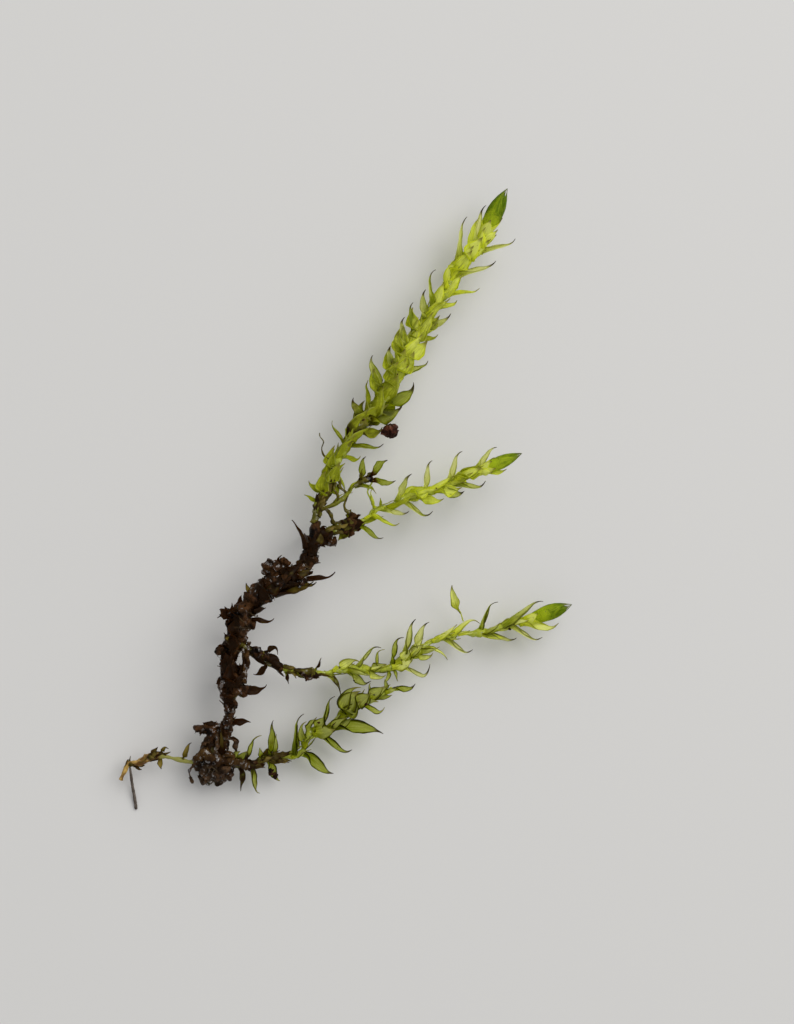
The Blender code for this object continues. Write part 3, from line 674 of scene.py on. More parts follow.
def tube_shell(places: Array, radii: Array, sides: Array, ways: Array) -> tuple[Array, Faces]:
    """Lays a closed round shell about a line.

    Args:
        places: The line's places.
        radii: The radius at each place, all round.
        sides: A direction across the line, at each place.
        ways: The line's direction, at each place.

    Returns:
        Points and faces; the last two points are the ends' middles.
    """
    rings, count = radii.shape
    angle = 2 * np.pi * np.arange(count) / count
    others = np.cross(ways, sides)
    out = sides[:, None] * np.cos(angle)[:, None] + others[:, None] * np.sin(angle)[:, None]
    points = (places[:, None] + out * radii[..., None]).reshape(-1, 3)
    first, last = rings * count, (rings - 1) * count
    start = places[0] - ways[0] * radii[0, 0] * TUBE_END
    end = places[-1] + ways[-1] * radii[-1, 0] * TUBE_END
    faces = grid_faces(rings, count, closed=True)
    for k in range(count):
        follow = (k + 1) % count
        faces.append([follow, k, first])
        faces.append([last + k, last + follow, first + 1])
    return np.concatenate((points, (start, end))), faces


@dataclass
class Course:
    """A stem's smoothed centre line, with its radius and a steady direction across it."""

    knots: Rows  # plan place, height and radius
    lead: float = 0.0  # how much longer it starts, to reach into what it grows from
    step: float = 0.05  # about how far apart its places are
    places: Array = field(init=False)
    radii: Array = field(init=False)
    ways: Array = field(init=False)
    sides: Array = field(init=False)
    shares: Array = field(init=False)
    length: float = field(init=False)

    def __post_init__(self) -> None:
        """Smooths the knots into closely spaced places."""
        knots = [np.array((*seen_point(x, y, z), radius)) for x, y, z, radius in self.knots]
        if self.lead:
            start = knots[0].copy()
            start[:3] -= unit(knots[1][:3] - start[:3]) * self.lead
            knots.insert(0, start)
        knots = [knots[0], *knots, knots[-1]]
        rows = []
        for before, start, end, after in zip(knots, knots[1:], knots[2:], knots[3:]):
            steps = max(2, round(float(np.linalg.norm(end[:3] - start[:3])) / self.step))
            t = (np.arange(steps) / steps)[:, None]
            rows.append(
                before * (-t + 2 * t**2 - t**3) / 2
                + start * (2 - 5 * t**2 + 3 * t**3) / 2
                + end * (t + 4 * t**2 - 3 * t**3) / 2
                + after * (t**3 - t**2) / 2
            )
        samples = np.concatenate((*rows, knots[-1][None, :]))
        self.places, self.radii = samples[:, :3], samples[:, 3]
        self.ways = unit(np.gradient(self.places, axis=0))
        self.sides = steady_sides(self.ways)
        strides = np.diff(self.places, axis=0, prepend=self.places[:1])
        travelled = np.cumsum(np.linalg.norm(strides, axis=1))
        self.length = float(travelled[-1])
        self.shares = travelled / self.length

    def index(self, share: float) -> int:
        """The number of the place at a share of the length."""
        return int(np.clip(np.searchsorted(self.shares, share), 0, len(self.shares) - 1))

    def nearest(self, place: Array) -> int:
        """The number of the place that is closest in plan."""
        return int(np.argmin(np.linalg.norm(self.places[:, :2] - place[:2], axis=1)))

    def outward(self, k: int, turn: float) -> Array:
        """A direction out of the stem at place k, turned round it."""
        side = self.sides[k]
        return side * math.cos(turn) + np.cross(self.ways[k], side) * math.sin(turn)

    def add_to(self, skin: Skin, scale: Values = 1.0, rough: Rows = (), count: int = 14,
               tint: float = 0.5, age: Values = 0.0) -> None:
        """Adds the stem's tube to a skin.

        Args:
            skin: Where it goes.
            scale: Share of the radius that is used, for all or for each place.
            rough: Pairs of lump size in millimetres and lump height as a share of the radius.
            count: Points round the stem.
            tint: Its tint.
            age: Its age, for all or for each place.
        """
        radii = np.repeat((self.radii * scale)[:, None], count, axis=1)
        base = tube_shell(self.places, radii, self.sides, self.ways)[0][:-2]
        for number, (size, height) in enumerate(rough):
            radii = radii * (1 + height * rough_values(base, size, 7.3 * number).reshape(radii.shape))
        points, faces = tube_shell(self.places, radii, self.sides, self.ways)
        ages = np.repeat(np.broadcast_to(age, len(self.places)), count)
        skin.add(
            points, faces, along=np.append(np.repeat(self.shares, count), (0.0, 1.0)), tint=tint,
            age=np.append(ages, (ages[0], ages[-1])),
        )


@dataclass
class Blade:
    """One leaf: a cupped, clasping blade with a midrib, drawn out to a slender tip."""

    foot: Array
    tip: Array
    way: Array  # the stem's direction at the foot
    out: Array  # from the stem's axis to the foot
    facing: Array  # where the hollow side faces, halfway along
    width: float
    stem_radius: float
    bow: float = 0.0  # how far it curves to the left
    cup: float = 0.95  # half angle of the cross-section's arc
    hook: float = 0.0  # sideways sway near the tip
    twist: float = 0.0  # how far the tip is turned about the midrib
    crumple: float = 0.008
    shoulder: float = 0.20  # where it is widest, as a share of its length
    foot_share: float = 0.80  # width at the foot, as a share of the greatest
    tint: float = 0.5
    age: float = 0.0
    foot_age: float | None = None
    rows: int = 20
    columns: int = 9
    thickness: float = 0.010
    rib_height: float = 0.012
    rib_width: float = 0.014
    wave_share: float = 0.04  # height of the waves in its edge, as a share of its width
    pleat_height: float = 0.003
    crumple_size: float = 0.14

    def midrib(self, u: Array) -> tuple[Array, Array]:
        """Follows the midrib.

        Args:
            u: Shares of its length.

        Returns:
            The places there and the directions.
        """
        chord = self.tip - self.foot
        length = float(np.linalg.norm(chord))
        side = unit(np.cross(UP, chord))
        left = side * self.bow * 4 / 3
        first = self.foot + chord / 3 + left + self.way * 0.12 * length - self.out * 0.03 * length
        second = self.foot + chord * 2 / 3 + left
        t = u[:, None]
        place = (
            (1 - t) ** 3 * self.foot + 3 * t * (1 - t) ** 2 * first
            + 3 * t**2 * (1 - t) * second + t**3 * self.tip
        )
        place = place + side * self.hook * 4 * t**4 * (1 - t)
        return place, unit(np.gradient(place, axis=0))

    def stance(self, u: Array) -> tuple[Array, Array, Array]:
        """Sets up the cross-sections.

        Args:
            u: Shares of the blade's length.

        Returns:
            The middle of each, the way that its hollow side faces and the direction across it.
        """
        place, way = self.midrib(u)
        facing = blend(-self.out[None], self.facing[None], smooth(0.0, 0.45, u)[:, None])
        facing = unit(facing - way * np.sum(facing * way, axis=1, keepdims=True))
        across = np.cross(facing, way)
        angle = (self.twist * u**2)[:, None]
        turned = facing * np.cos(angle) + across * np.sin(angle)
        return place, turned, across * np.cos(angle) - facing * np.sin(angle)

    def half_widths(self, u: Array) -> Array:
        """Works out half the width of the flattened blade.

        Args:
            u: Shares of its length.

        Returns:
            Half the width at each.
        """
        rise = self.foot_share + (1 - self.foot_share) * smooth(0.0, self.shoulder, u)
        t = np.clip((u - self.shoulder) / (1 - self.shoulder), 0.0, 1.0)
        fall = (1 - t) * (1 + 0.85 * t) * (1 - 0.55 * smooth(0.45, 0.95, t))
        return self.width / 2 * rise * fall + TIP_HALF_WIDTH

    def bends(self, u: Array, half: Array) -> Array:
        """Works out the cross-sections' half angles: round the stem at the foot, flatter at the tip.

        Args:
            u: Shares of the blade's length.
            half: Half its width at each.

        Returns:
            The half angle at each.
        """
        clasp = float(np.clip(half[0] / max(self.stem_radius, THINNEST_STEM), self.cup, WIDEST_CLASP))
        bend = blend(clasp, self.cup, smooth(0.0, 0.4, u))
        return blend(bend, self.cup * 0.55, smooth(0.6, 1.0, u))

    def add_to(self, skin: Skin, rng: Random) -> None:
        """Adds the blade's thin closed shell to a skin.

        Args:
            skin: Where it goes.
            rng: The source of its small irregularities.
        """
        u, v = np.linspace(0.0, 1.0, self.rows), np.linspace(-1.0, 1.0, self.columns)
        place, facing, across = self.stance(u)
        half = self.half_widths(u)
        bend = self.bends(u, half)
        reach = (half / bend)[:, None]
        swing = bend[:, None] * v[None]
        grid = place[:, None] + across[:, None] * (reach * np.sin(swing))[..., None]
        grid = grid + facing[:, None] * (reach * (1 - np.cos(swing)))[..., None]
        normal = facing[:, None] * np.cos(swing)[..., None] - across[:, None] * np.sin(swing)[..., None]
        phase = rng.uniform(0, FULL_TURN)
        swell = np.sin(np.pi * u)[:, None]
        waves = np.sin(u * rng.uniform(5, 9) + phase)[:, None] * np.abs(v[None]) ** 3
        waves = self.wave_share * self.width * waves
        pleats = self.pleat_height * np.sin(v * 8 + phase)[None]
        grid = grid + normal * ((waves + pleats) * swell)[..., None]
        shake = rough_steps(grid.reshape(-1, 3), self.crumple_size, phase, 9.0).reshape(grid.shape)
        grid = grid + shake * self.crumple * smooth(0.0, 0.3, u)[:, None, None]
        rib = self.rib_height * np.exp(-((v[None] * half[:, None]) / self.rib_width) ** 2)
        edge = self.thickness * (1 - 0.5 * v[None] ** 6)
        above = edge * 0.6 + rib * (1 - 0.8 * u)[:, None]
        foot_age = self.age if self.foot_age is None else self.foot_age
        ages = blend(foot_age, self.age, smooth(0.1, 0.4, u))
        skin.add_leaf(grid, -normal, above, edge * 0.4, self.tint, ages)


def blade_facing(foot: Array, tip: Array, apex: Array, seen: float, width: float) -> Array:
    """Turns a blade from facing up towards the stem's tip, until it shows no wider than it was seen.

    Args:
        foot: Its foot.
        tip: Its tip.
        apex: The direction to the stem's tip.
        seen: Its width as seen.
        width: Its real width.

    Returns:
        The way that its hollow side faces.
    """
    axis = unit(tip - foot)
    turn = math.acos(min(1.0, seen / width))
    level = square_to(UP, axis)
    forward = unit(square_to(apex, axis))
    upright = np.linalg.norm(level) < 0.05
    return forward if upright else unit(unit(level) * math.cos(turn) + forward * math.sin(turn))


def worn_blades(course: Course, first: float, last: float, count: int, rng: Random,
                reach: Span = (0.22, 0.48), off: float = 0.05,
                ages: Span = (0.8, 1.0)) -> Iterator[Blade]:
    """Remains of dead leaves that lie close round a stem.

    Args:
        course: The stem.
        first: Where they start, as a share of its length.
        last: Where they end.
        count: How many there are.
        rng: The source of their irregularities.
        reach: Their shortest and longest length.
        off: How far their tips may stand off.
        ages: Their lowest and highest age.

    Yields:
        The blades.
    """
    for number in range(count):
        k = course.index(rng.uniform(first, last))
        way, radius = course.ways[k], course.radii[k]
        out = course.outward(k, number * SPIRAL_ANGLE + rng.uniform(-0.4, 0.4))
        foot = course.places[k] + out * radius * 0.85
        tip = course.places[k] + way * rng.uniform(*reach) + out * (radius * 0.95 + rng.uniform(0.0, off))
        tip = tip + np.cross(way, out) * rng.uniform(-0.08, 0.08)
        tip[2] = min(tip[2], LOOSE_TOP)
        width = rng.uniform(0.18, 0.36) * min(1.0, radius / WORN_FULL_RADIUS)
        yield Blade(
            foot, tip, way, out, unit(way - out * 0.4), width, radius, rng.uniform(-0.04, 0.04), rows=16,
            thickness=0.012, crumple=rng.uniform(0.015, 0.045), tint=rng.random(), age=rng.uniform(*ages),
            twist=rng.uniform(-0.6, 0.6), foot_share=1.0, shoulder=0.35,
        )


def add_lump(skin: Skin, centre: Array, radii: Sequence[float], rough: float, detail: int,
             rng: Random) -> None:
    """Adds a rough rounded lump.

    Args:
        skin: Where it goes.
        centre: Its middle.
        radii: Its three radii.
        rough: Height of its dents, as a share of its radius.
        detail: How finely it is divided.
        rng: Where its pattern of dents is drawn from.
    """
    bm = bmesh.new()
    bmesh.ops.create_icosphere(bm, subdivisions=detail, radius=1.0)
    points = np.array([vert.co for vert in bm.verts])
    faces = [[vert.index for vert in face.verts] for face in bm.faces]
    bm.free()
    shift = rng.uniform(0, 50)
    dents = sum(height * rough_values(points, size, shift) for size, height in LUMP_DENTS)
    skin.add(centre + points * (1 + rough * dents)[:, None] * np.asarray(radii), faces, tint=0.5, age=1.0)


def add_knot(skin: Skin, place: Array, radius: float, rng: Random, lumps: int = 3,
             spread: float = 0.45, sizes: Span = (0.5, 0.95), rough: float = 0.9) -> None:
    """Adds rough lumps that run into each other.

    Args:
        skin: Where they go.
        place: Their common middle.
        radius: The whole knot's radius.
        rng: Where they are drawn from.
        lumps: How many there are.
        spread: How far they may lie off the middle, as a share of the radius.
        sizes: Their smallest and largest radius, as shares of the knot's.
        rough: Height of their dents.
    """
    for _ in range(lumps):
        off = three(rng, -spread, spread) * radius
        add_lump(skin, place + off, radius * three(rng, *sizes), rough, 2, rng)


def melt(shells: Skin, voxel: float, relief: Rows) -> Skin:
    """Melts closed shells that overlap into one rough skin.

    Args:
        shells: The shells.
        voxel: The size of the new faces, in millimetres.
        relief: Pairs of lump size and lump height, in millimetres, that are raised on it.

    Returns:
        The new skin.
    """
    mesh = bpy.data.meshes.new("shells")
    mesh.from_pydata(np.concatenate(shells.points).tolist(), [], shells.faces)
    holder = put("shells", mesh)
    remesh = holder.modifiers.new("melt", "REMESH")
    remesh.mode = "VOXEL"
    remesh.voxel_size = voxel
    evaluated = holder.evaluated_get(bpy.context.evaluated_depsgraph_get())
    made = evaluated.to_mesh()
    points, normals = np.empty(len(made.vertices) * 3), np.empty(len(made.vertices) * 3)
    made.vertices.foreach_get("co", points)
    made.vertices.foreach_get("normal", normals)
    points, normals = points.reshape(-1, 3), normals.reshape(-1, 3)
    faces = [list(face.vertices) for face in made.polygons]
    evaluated.to_mesh_clear()
    bpy.data.objects.remove(holder)
    bpy.data.meshes.remove(mesh)
    lift = sum(height * rough_values(points, size, 5.0 * size) for size, height in relief)
    skin = Skin()
    ages = 0.9 + 0.5 * rough_values(points, 0.45, 4.0)
    skin.add(points + normals * lift[:, None], faces, tint=0.5, age=ages)
    return skin


def add_strand(skin: Skin, rows: Rows, age: float = 1.0) -> None:
    """Adds a thin strand that sways a little between its ends.

    Args:
        skin: Where it goes.
        rows: Plan place, height and radius at each of its knots.
        age: Its age.
    """
    course = Course(rows, step=0.03)
    inner = smooth(0.0, 0.2, course.shares) * (1 - smooth(0.8, 1.0, course.shares))
    sway = rough_steps(course.places, 0.22, 0.0, 3.0)
    course.places = course.places + sway * 0.10 * inner[:, None]
    course.add_to(skin, rough=STRAND_RELIEF, count=10, age=age)


def lay_strands(strands: tuple[Rows, ...], age: float) -> Skin:
    """Lays several strands of one age.

    Args:
        strands: Plan place, height and radius at each knot of each strand.
        age: Their age.

    Returns:
        Their skin.
    """
    skin = Skin()
    for rows in strands:
        add_strand(skin, rows, age)
    return skin


def add_fibre(skin: Skin, place: Array, way: Array, radius: float, thick: float, rng: Random) -> None:
    """Adds a hair that creeps round a stem or lump.

    Args:
        skin: Where it goes.
        place: The middle of what it creeps round.
        way: The direction of that thing.
        radius: Its distance from the middle.
        thick: The hair's radius.
        rng: The source of its course.
    """
    side = unit(np.cross(way, UP))
    other = np.cross(way, side)
    turn, travel = rng.uniform(0, FULL_TURN), rng.uniform(-0.22, 0.22)
    t = np.linspace(0, 1, 14)
    angle = turn + rng.uniform(1.5, 3.5) * rng.choice((-1, 1)) * t
    off = radius * (1.0 + 0.15 * np.sin(t * 5 + turn))
    knots = place + way * (travel * t)[:, None]
    knots = knots + (side * np.cos(angle)[:, None] + other * np.sin(angle)[:, None]) * off[:, None]
    knots = knots + np.array([three(rng, -0.01, 0.01) for _ in t])
    knots[:, 2] = np.clip(knots[:, 2], thick, LOOSE_TOP)
    ways = unit(np.gradient(knots, axis=0))
    radii = np.repeat((thick * (1 - 0.7 * t))[:, None], 5, axis=1)
    points, faces = tube_shell(knots, radii, steady_sides(ways), ways)
    skin.add(points, faces, age=1.0, tint=rng.random())


# Sub-assemblies


@dataclass(frozen=True)
class Sheath:
    """How leaves close round a stem in a spiral."""

    first: float  # where they start, as a share of the stem's length
    last: float  # where they end
    spacing: float  # from one to the next along the stem
    forward: float  # how far they reach along the stem
    outward: float  # how far their tips stand off it
    width: float


@dataclass
class LeafyShoot:
    """A stem with the leaves that clasp it, and the spreading leaves that are pieces of their own."""

    name: str
    leaf_prefix: str
    knots: Rows
    separate: Rows  # the spreading leaves
    grown: Rows  # the small leaves that are one piece with the stem
    ages: Rows  # shares of the length and the ages there
    sheath: Sheath | None = None
    worn_until: float = 0.0  # the share of the length up to which worn remains go
    worn_count: int = 0
    thin: float = 1.0  # the green stem under its leaves, as a share of the solid's radius
    tints: Span = (0.2, 0.6)
    lead: float = 0.15
    deepen: Rows = ((0.0, 0.3), (1.0, 0.0))  # shares of the length and the added depth of green there
    clots: Rows = ()  # dark knots: place and radius
    bulk: float = 0.10  # the solid's radius where the clasping leaves have their given width
    rimmed: bool = False  # whether its leaves have a broad dark edge
    seed: int = 1
    course: Course = field(init=False)
    rng: Random = field(init=False)

    def __post_init__(self) -> None:
        """Smooths the stem's course."""
        self.course = Course(self.knots, self.lead)
        self.rng = Random(self.seed)

    def age_at(self, share: Values) -> Array:
        """How old and brown the shoot is at a share of its length."""
        return np.interp(share, *zip(*self.ages))

    def tint_at(self, k: int) -> float:
        """A leaf's own depth of green at place k."""
        return self.rng.uniform(*self.tints) + float(np.interp(self.course.shares[k], *zip(*self.deepen)))

    def leaf(self, row: Row, scale: float = 1.0) -> Blade:
        """Shapes a listed leaf.

        Args:
            row: Plan place of its foot and of its tip, height of the tip, width as seen, bow to the left,
                and where it isn't the stem's, its age.
            scale: Share of the listed width that is used.

        Returns:
            The blade.
        """
        x, y, tip_x, tip_y, tip_z, seen, bow, *age = row
        rng = self.rng
        k = self.course.nearest(seen_point(x, y, self.course.places[0][2]))
        centre, way = self.course.places[k], self.course.ways[k]
        radius = self.course.radii[k] * self.thin
        tip = seen_point(tip_x, tip_y, tip_z)
        out = unit(square_to(tip - centre, way))
        ahead = float(np.clip((seen_point(x, y, centre[2]) - centre).dot(way), *FOOT_SLIDE))
        foot = centre + way * ahead + out * radius * 0.98
        width = max(seen * scale, FULL_WIDTH_SHARE * float(np.linalg.norm(tip - foot)))
        facing = blade_facing(foot, tip, way, seen * scale, width)
        old = float(self.age_at(self.course.shares[k])) * rng.uniform(0.75, 1.0)
        return Blade(
            foot, tip, way, out, facing, width * FLAT_WIDTH, radius, bow,
            hook=1.6 * bow + rng.uniform(-0.03, 0.03), twist=rng.uniform(-0.3, 0.3), tint=self.tint_at(k),
            age=age[0] if age else old * 0.8, foot_age=old, crumple=0.010 + 0.02 * old,
            cup=rng.uniform(0.8, 1.15),
        )

    def sheath_blades(self, sheath: Sheath) -> Iterator[Blade]:
        """Leaves that close round the stem in a spiral, on the sides that face up and down.

        Args:
            sheath: Their places and sizes.

        Yields:
            The blades.
        """
        rng, course = self.rng, self.course
        distance, turn = sheath.first * course.length, 0.0
        while distance < sheath.last * course.length:
            k = course.index(distance / course.length)
            turn += SPIRAL_ANGLE
            distance += sheath.spacing * rng.uniform(0.8, 1.2)
            place, way, solid_radius = course.places[k], course.ways[k], course.radii[k]
            rise = unit(square_to(UP, way))
            swing = max(-FLANK, min(FLANK, math.sin(turn)))
            lift = math.copysign(math.sqrt(1 - swing * swing), math.cos(turn))
            out = rise * lift + np.cross(way, rise) * swing
            radius = solid_radius * self.thin
            bulk = (float(solid_radius) / self.bulk) ** 1.5
            foot = place + out * radius * 1.02
            end = course.index(min(1.0, (distance + sheath.forward) / course.length))
            tip = blend(place + way * sheath.forward * rng.uniform(0.65, 1.1), course.places[end], 0.5)
            tip = tip + out * (sheath.outward * bulk * rng.uniform(0.6, 1.3) + solid_radius)
            age = float(self.age_at(course.shares[k])) * rng.uniform(0.7, 1.0)
            yield Blade(
                foot, tip, way, out, unit(square_to(way, unit(tip - foot))),
                sheath.width * bulk * rng.uniform(0.7, 1.15), radius, rng.uniform(-0.04, 0.04),
                twist=rng.uniform(-0.5, 0.5), tint=self.tint_at(k), age=age * 0.7,
                foot_age=age * rng.uniform(0.7, 1.6), crumple=rng.uniform(0.01, 0.03),
                cup=rng.uniform(0.8, 1.3), foot_share=0.95,
            )

    def build(self) -> None:
        """Makes the stem with its knots, its small leaves and its spreading leaves."""
        self.build_stem()
        self.build_clasping_leaves()
        if self.worn_count:
            self.build_worn_leaves()
        self.build_spreading_leaves()

    def build_stem(self) -> None:
        """Makes the green stem, thicker where it is old, and its dark knots."""
        ages = self.age_at(self.course.shares)
        stem = Skin()
        scale = blend(self.thin, 0.95, np.clip(ages, 0, 1))
        self.course.add_to(stem, scale, ((0.25, 0.6), (0.09, 0.5)), age=ages)
        stem.piece(f"{self.name}_stem", Look.STEM, "shoot", self.name)
        if self.clots:
            knots = Skin()
            for x, y, z, radius in self.clots:
                add_knot(knots, seen_point(x, y, z), radius, self.rng)
            melted = melt(knots, 0.018, ((0.12, 0.05), (0.05, 0.02)))
            melted.piece(f"{self.name}_clots", Look.BARK, "shoot", self.name)

    def build_clasping_leaves(self) -> None:
        """Makes the small listed leaves and those of the sheath as one piece."""
        small = Skin()
        for row in self.grown:
            self.leaf(row).add_to(small, self.rng)
        for blade in self.sheath_blades(self.sheath) if self.sheath else ():
            blade.add_to(small, self.rng)
        look = Look.RIMMED_CLASPING if self.rimmed else Look.CLASPING
        small.piece(f"{self.name}_clasping_leaves", look, "shoot", self.name)

    def build_worn_leaves(self) -> None:
        """Makes the remains of dead leaves round the old end as one piece."""
        remains = Skin()
        for blade in worn_blades(self.course, 0.0, self.worn_until, self.worn_count, self.rng):
            local = float(self.age_at(self.course.shares[self.course.nearest(blade.foot)]))
            blade.age = min(1.0, local * self.rng.uniform(0.8, 1.3))
            blade.add_to(remains, self.rng)
        remains.piece(f"{self.name}_worn_leaves", Look.WORN, "shoot", self.name)

    def build_spreading_leaves(self) -> None:
        """Makes each spreading leaf as a piece of its own."""
        look = Look.RIMMED_LEAF if self.rimmed else Look.LEAF
        for number, row in enumerate(self.separate, 1):
            one = Skin()
            replace(self.leaf(row, 1.05), rows=28, columns=11).add_to(one, self.rng)
            node = f"{self.leaf_prefix}_{number:02d}"
            one.piece(f"{node}_blade", look, "young_leaf", node)


@dataclass
class OldStem:
    """The old dark stem: ragged, wet bark under the remains of its leaves."""

    knots: Rows
    stubs: tuple[Rows, ...]
    lumps: Rows
    strands: tuple[Rows, ...]
    grown: Rows
    small_lumps: int = 34
    worn_leaves: int = 62
    spikes: int = 60
    stub_leaves: int = 5
    fibres: int = 60
    seed: int = 11
    course: Course = field(init=False)
    branches: list[Course] = field(init=False)
    rng: Random = field(init=False)

    def __post_init__(self) -> None:
        """Smooths the courses of the stem and its stubs."""
        self.course = Course(self.knots)
        self.branches = [Course(stub) for stub in self.stubs]
        self.rng = Random(self.seed)

    def build(self) -> None:
        """Makes the bark, the strands, the worn leaves and the fibres round it."""
        layers = (
            ("bark_mass", Look.BARK, self.bark()),
            ("strands", Look.CORD, lay_strands(self.strands, 0.85)),
            ("worn_leaves", Look.WORN, self.remains()),
            ("fibres", Look.FIBRE, self.hairs()),
        )
        for name, look, skin in layers:
            skin.piece(f"old_stem_{name}", look, "old_stem", "old_stem")

    def bark(self) -> Skin:
        """Melts the stem, its stubs, and lumps large and small into one mass.

        Returns:
            Its skin.
        """
        rng, course = self.rng, self.course
        shells = Skin()
        course.add_to(shells, 0.80, ((0.25, 0.7), (0.1, 0.3)), 16)
        for stub in self.branches:
            stub.add_to(shells, 0.85, ((0.2, 0.7), (0.08, 0.4)), 12)
        for x, y, z, radius in self.lumps:
            add_knot(shells, seen_point(x, y, z), radius, rng)
        for number in range(self.small_lumps):
            k = rng.randrange(1, len(course.places) - 3)
            size = rng.uniform(0.04, 0.09)
            place = course.places[k] + course.outward(k, number * SPIRAL_ANGLE) * course.radii[k] * 0.8
            add_lump(shells, place, (size, size * 1.3, size), 0.7, 2, rng)
        return melt(shells, 0.02, ((0.18, 0.06), (0.07, 0.018)))

    def remains(self) -> Skin:
        """Sets the listed dead leaves, and worn leaves and spikes by rule.

        Returns:
            Their skin.
        """
        rng = self.rng
        worn = Skin()
        ages = ((0.0, 1.25), (1.0, 1.1))
        holder = LeafyShoot("old_stem", "", self.knots, (), (), ages, lead=0.0, seed=self.seed)
        for row in self.grown:
            blade = holder.leaf(row, 0.95)
            replace(blade, thickness=0.02, crumple=0.02, foot_share=1.0, shoulder=0.1).add_to(worn, rng)
        for blade in worn_blades(self.course, 0.02, 0.90, self.worn_leaves, rng):
            blade.add_to(worn, rng)
        for blade in worn_blades(self.course, 0.02, 0.97, self.spikes, rng, (0.08, 0.20), 0.12, (0.9, 1.0)):
            replace(blade, width=blade.width * 0.3, rows=10, columns=5).add_to(worn, rng)
        for stub in self.branches:
            for blade in worn_blades(stub, 0.0, 0.8, self.stub_leaves, rng, (0.12, 0.26), 0.04):
                blade.add_to(worn, rng)
        return worn

    def hairs(self) -> Skin:
        """Winds hairs round the stem.

        Returns:
            Their skin.
        """
        rng, course = self.rng, self.course
        fibres = Skin()
        for _ in range(self.fibres):
            k = rng.randrange(4, len(course.places) - 4)
            thick = rng.uniform(0.006, 0.014)
            radius = course.radii[k] * rng.uniform(0.95, 1.1)
            add_fibre(fibres, course.places[k], course.ways[k], radius, thick, rng)
        return fibres


# A bud's outline: shares of its length and of its greatest radius
BUD_OUTLINE = (
    (-0.35, 0.42), (-0.15, 0.50), (0.0, 0.60), (0.12, 0.76), (0.28, 0.93), (0.45, 1.0), (0.62, 0.90),
    (0.78, 0.62), (0.90, 0.30), (1.0, 0.0),
)


@dataclass
class Bud:
    """A closed shoot tip: green leaves that overlap round each other to a point, in paler outer ones."""

    node: str
    foot: Row
    tip: Row
    radius: float
    seed: int
    leaves: int = 7
    collar: int = 4
    tint: float = 0.7
    foot_tint: float = -1.3  # how much less deep green the foot is
    collar_ends: Span = (0.22, 0.50)  # where the pale collar leaves end, as shares of the bud
    wrap: float = 1.9  # the half angle that a leaf's foot wraps
    thickness: float = 0.006  # half a leaf's
    rows: int = 26
    columns: int = 13

    def build(self) -> None:
        """Makes the pale collar leaves and the green leaves that they hold."""
        rng = Random(self.seed)
        green, pale = Skin(), Skin()
        for number in range(self.leaves):
            inner = number / (self.leaves - 1)
            span = (-0.06 + 0.25 * inner, 0.97 + 0.03 * inner)
            self.add_leaf(green, number, span, 0.86 + 0.12 * (1 - inner), self.tint + 0.5 * inner, rng)
        for number in range(self.collar):
            span = (-0.34 + 0.06 * number, rng.uniform(*self.collar_ends))
            self.add_leaf(pale, number + self.leaves, span, 1.10, 0.1, rng)
        green.piece(f"{self.node}_leaves", Look.BUD, "bud", self.node)
        pale.piece(f"{self.node}_collar_leaves", Look.CLASPING, "bud", self.node)

    def add_leaf(self, skin: Skin, number: int, span: Span, scale: float, tint: float,
                 rng: Random) -> None:
        """Adds one leaf that wraps the bud.

        Args:
            skin: Where it goes.
            number: Its place in the spiral.
            span: Where it starts and ends along the bud.
            scale: Share of the bud's radius that it lies on.
            tint: Its tint.
            rng: The source of its irregularities.
        """
        foot, tip = seen_point(*self.foot), seen_point(*self.tip)
        side = unit(np.cross(unit(tip - foot), UP))
        other = np.cross(unit(tip - foot), side)
        u, v = np.linspace(0, 1, self.rows), np.linspace(-1, 1, self.columns)
        share = span[0] + (span[1] - span[0]) * u
        wrap = self.wrap * (1 - 0.97 * smooth(0.35, 1.0, u) ** 0.8)
        angle = number * SPIRAL_ANGLE + self.seed + wrap[:, None] * v[None]
        angle = angle + rng.uniform(-0.2, 0.2) * u[:, None]
        radius = self.radius * np.interp(share, *zip(*BUD_OUTLINE)) * scale + 0.006 * (1 - u ** 4)
        normal = side * np.cos(angle)[..., None] + other * (np.sin(angle) * 0.85)[..., None]
        middle = foot + (tip - foot) * share[:, None]
        sheet = middle[:, None] + normal * (radius[:, None] * (1 - 0.05 * v[None] ** 2))[..., None]
        tints = tint + rng.uniform(0, 0.2) + self.foot_tint * (1 - smooth(0.02, 0.45, share))
        skin.add_leaf(sheet, normal, self.thickness, self.thickness, tints, 0.0)


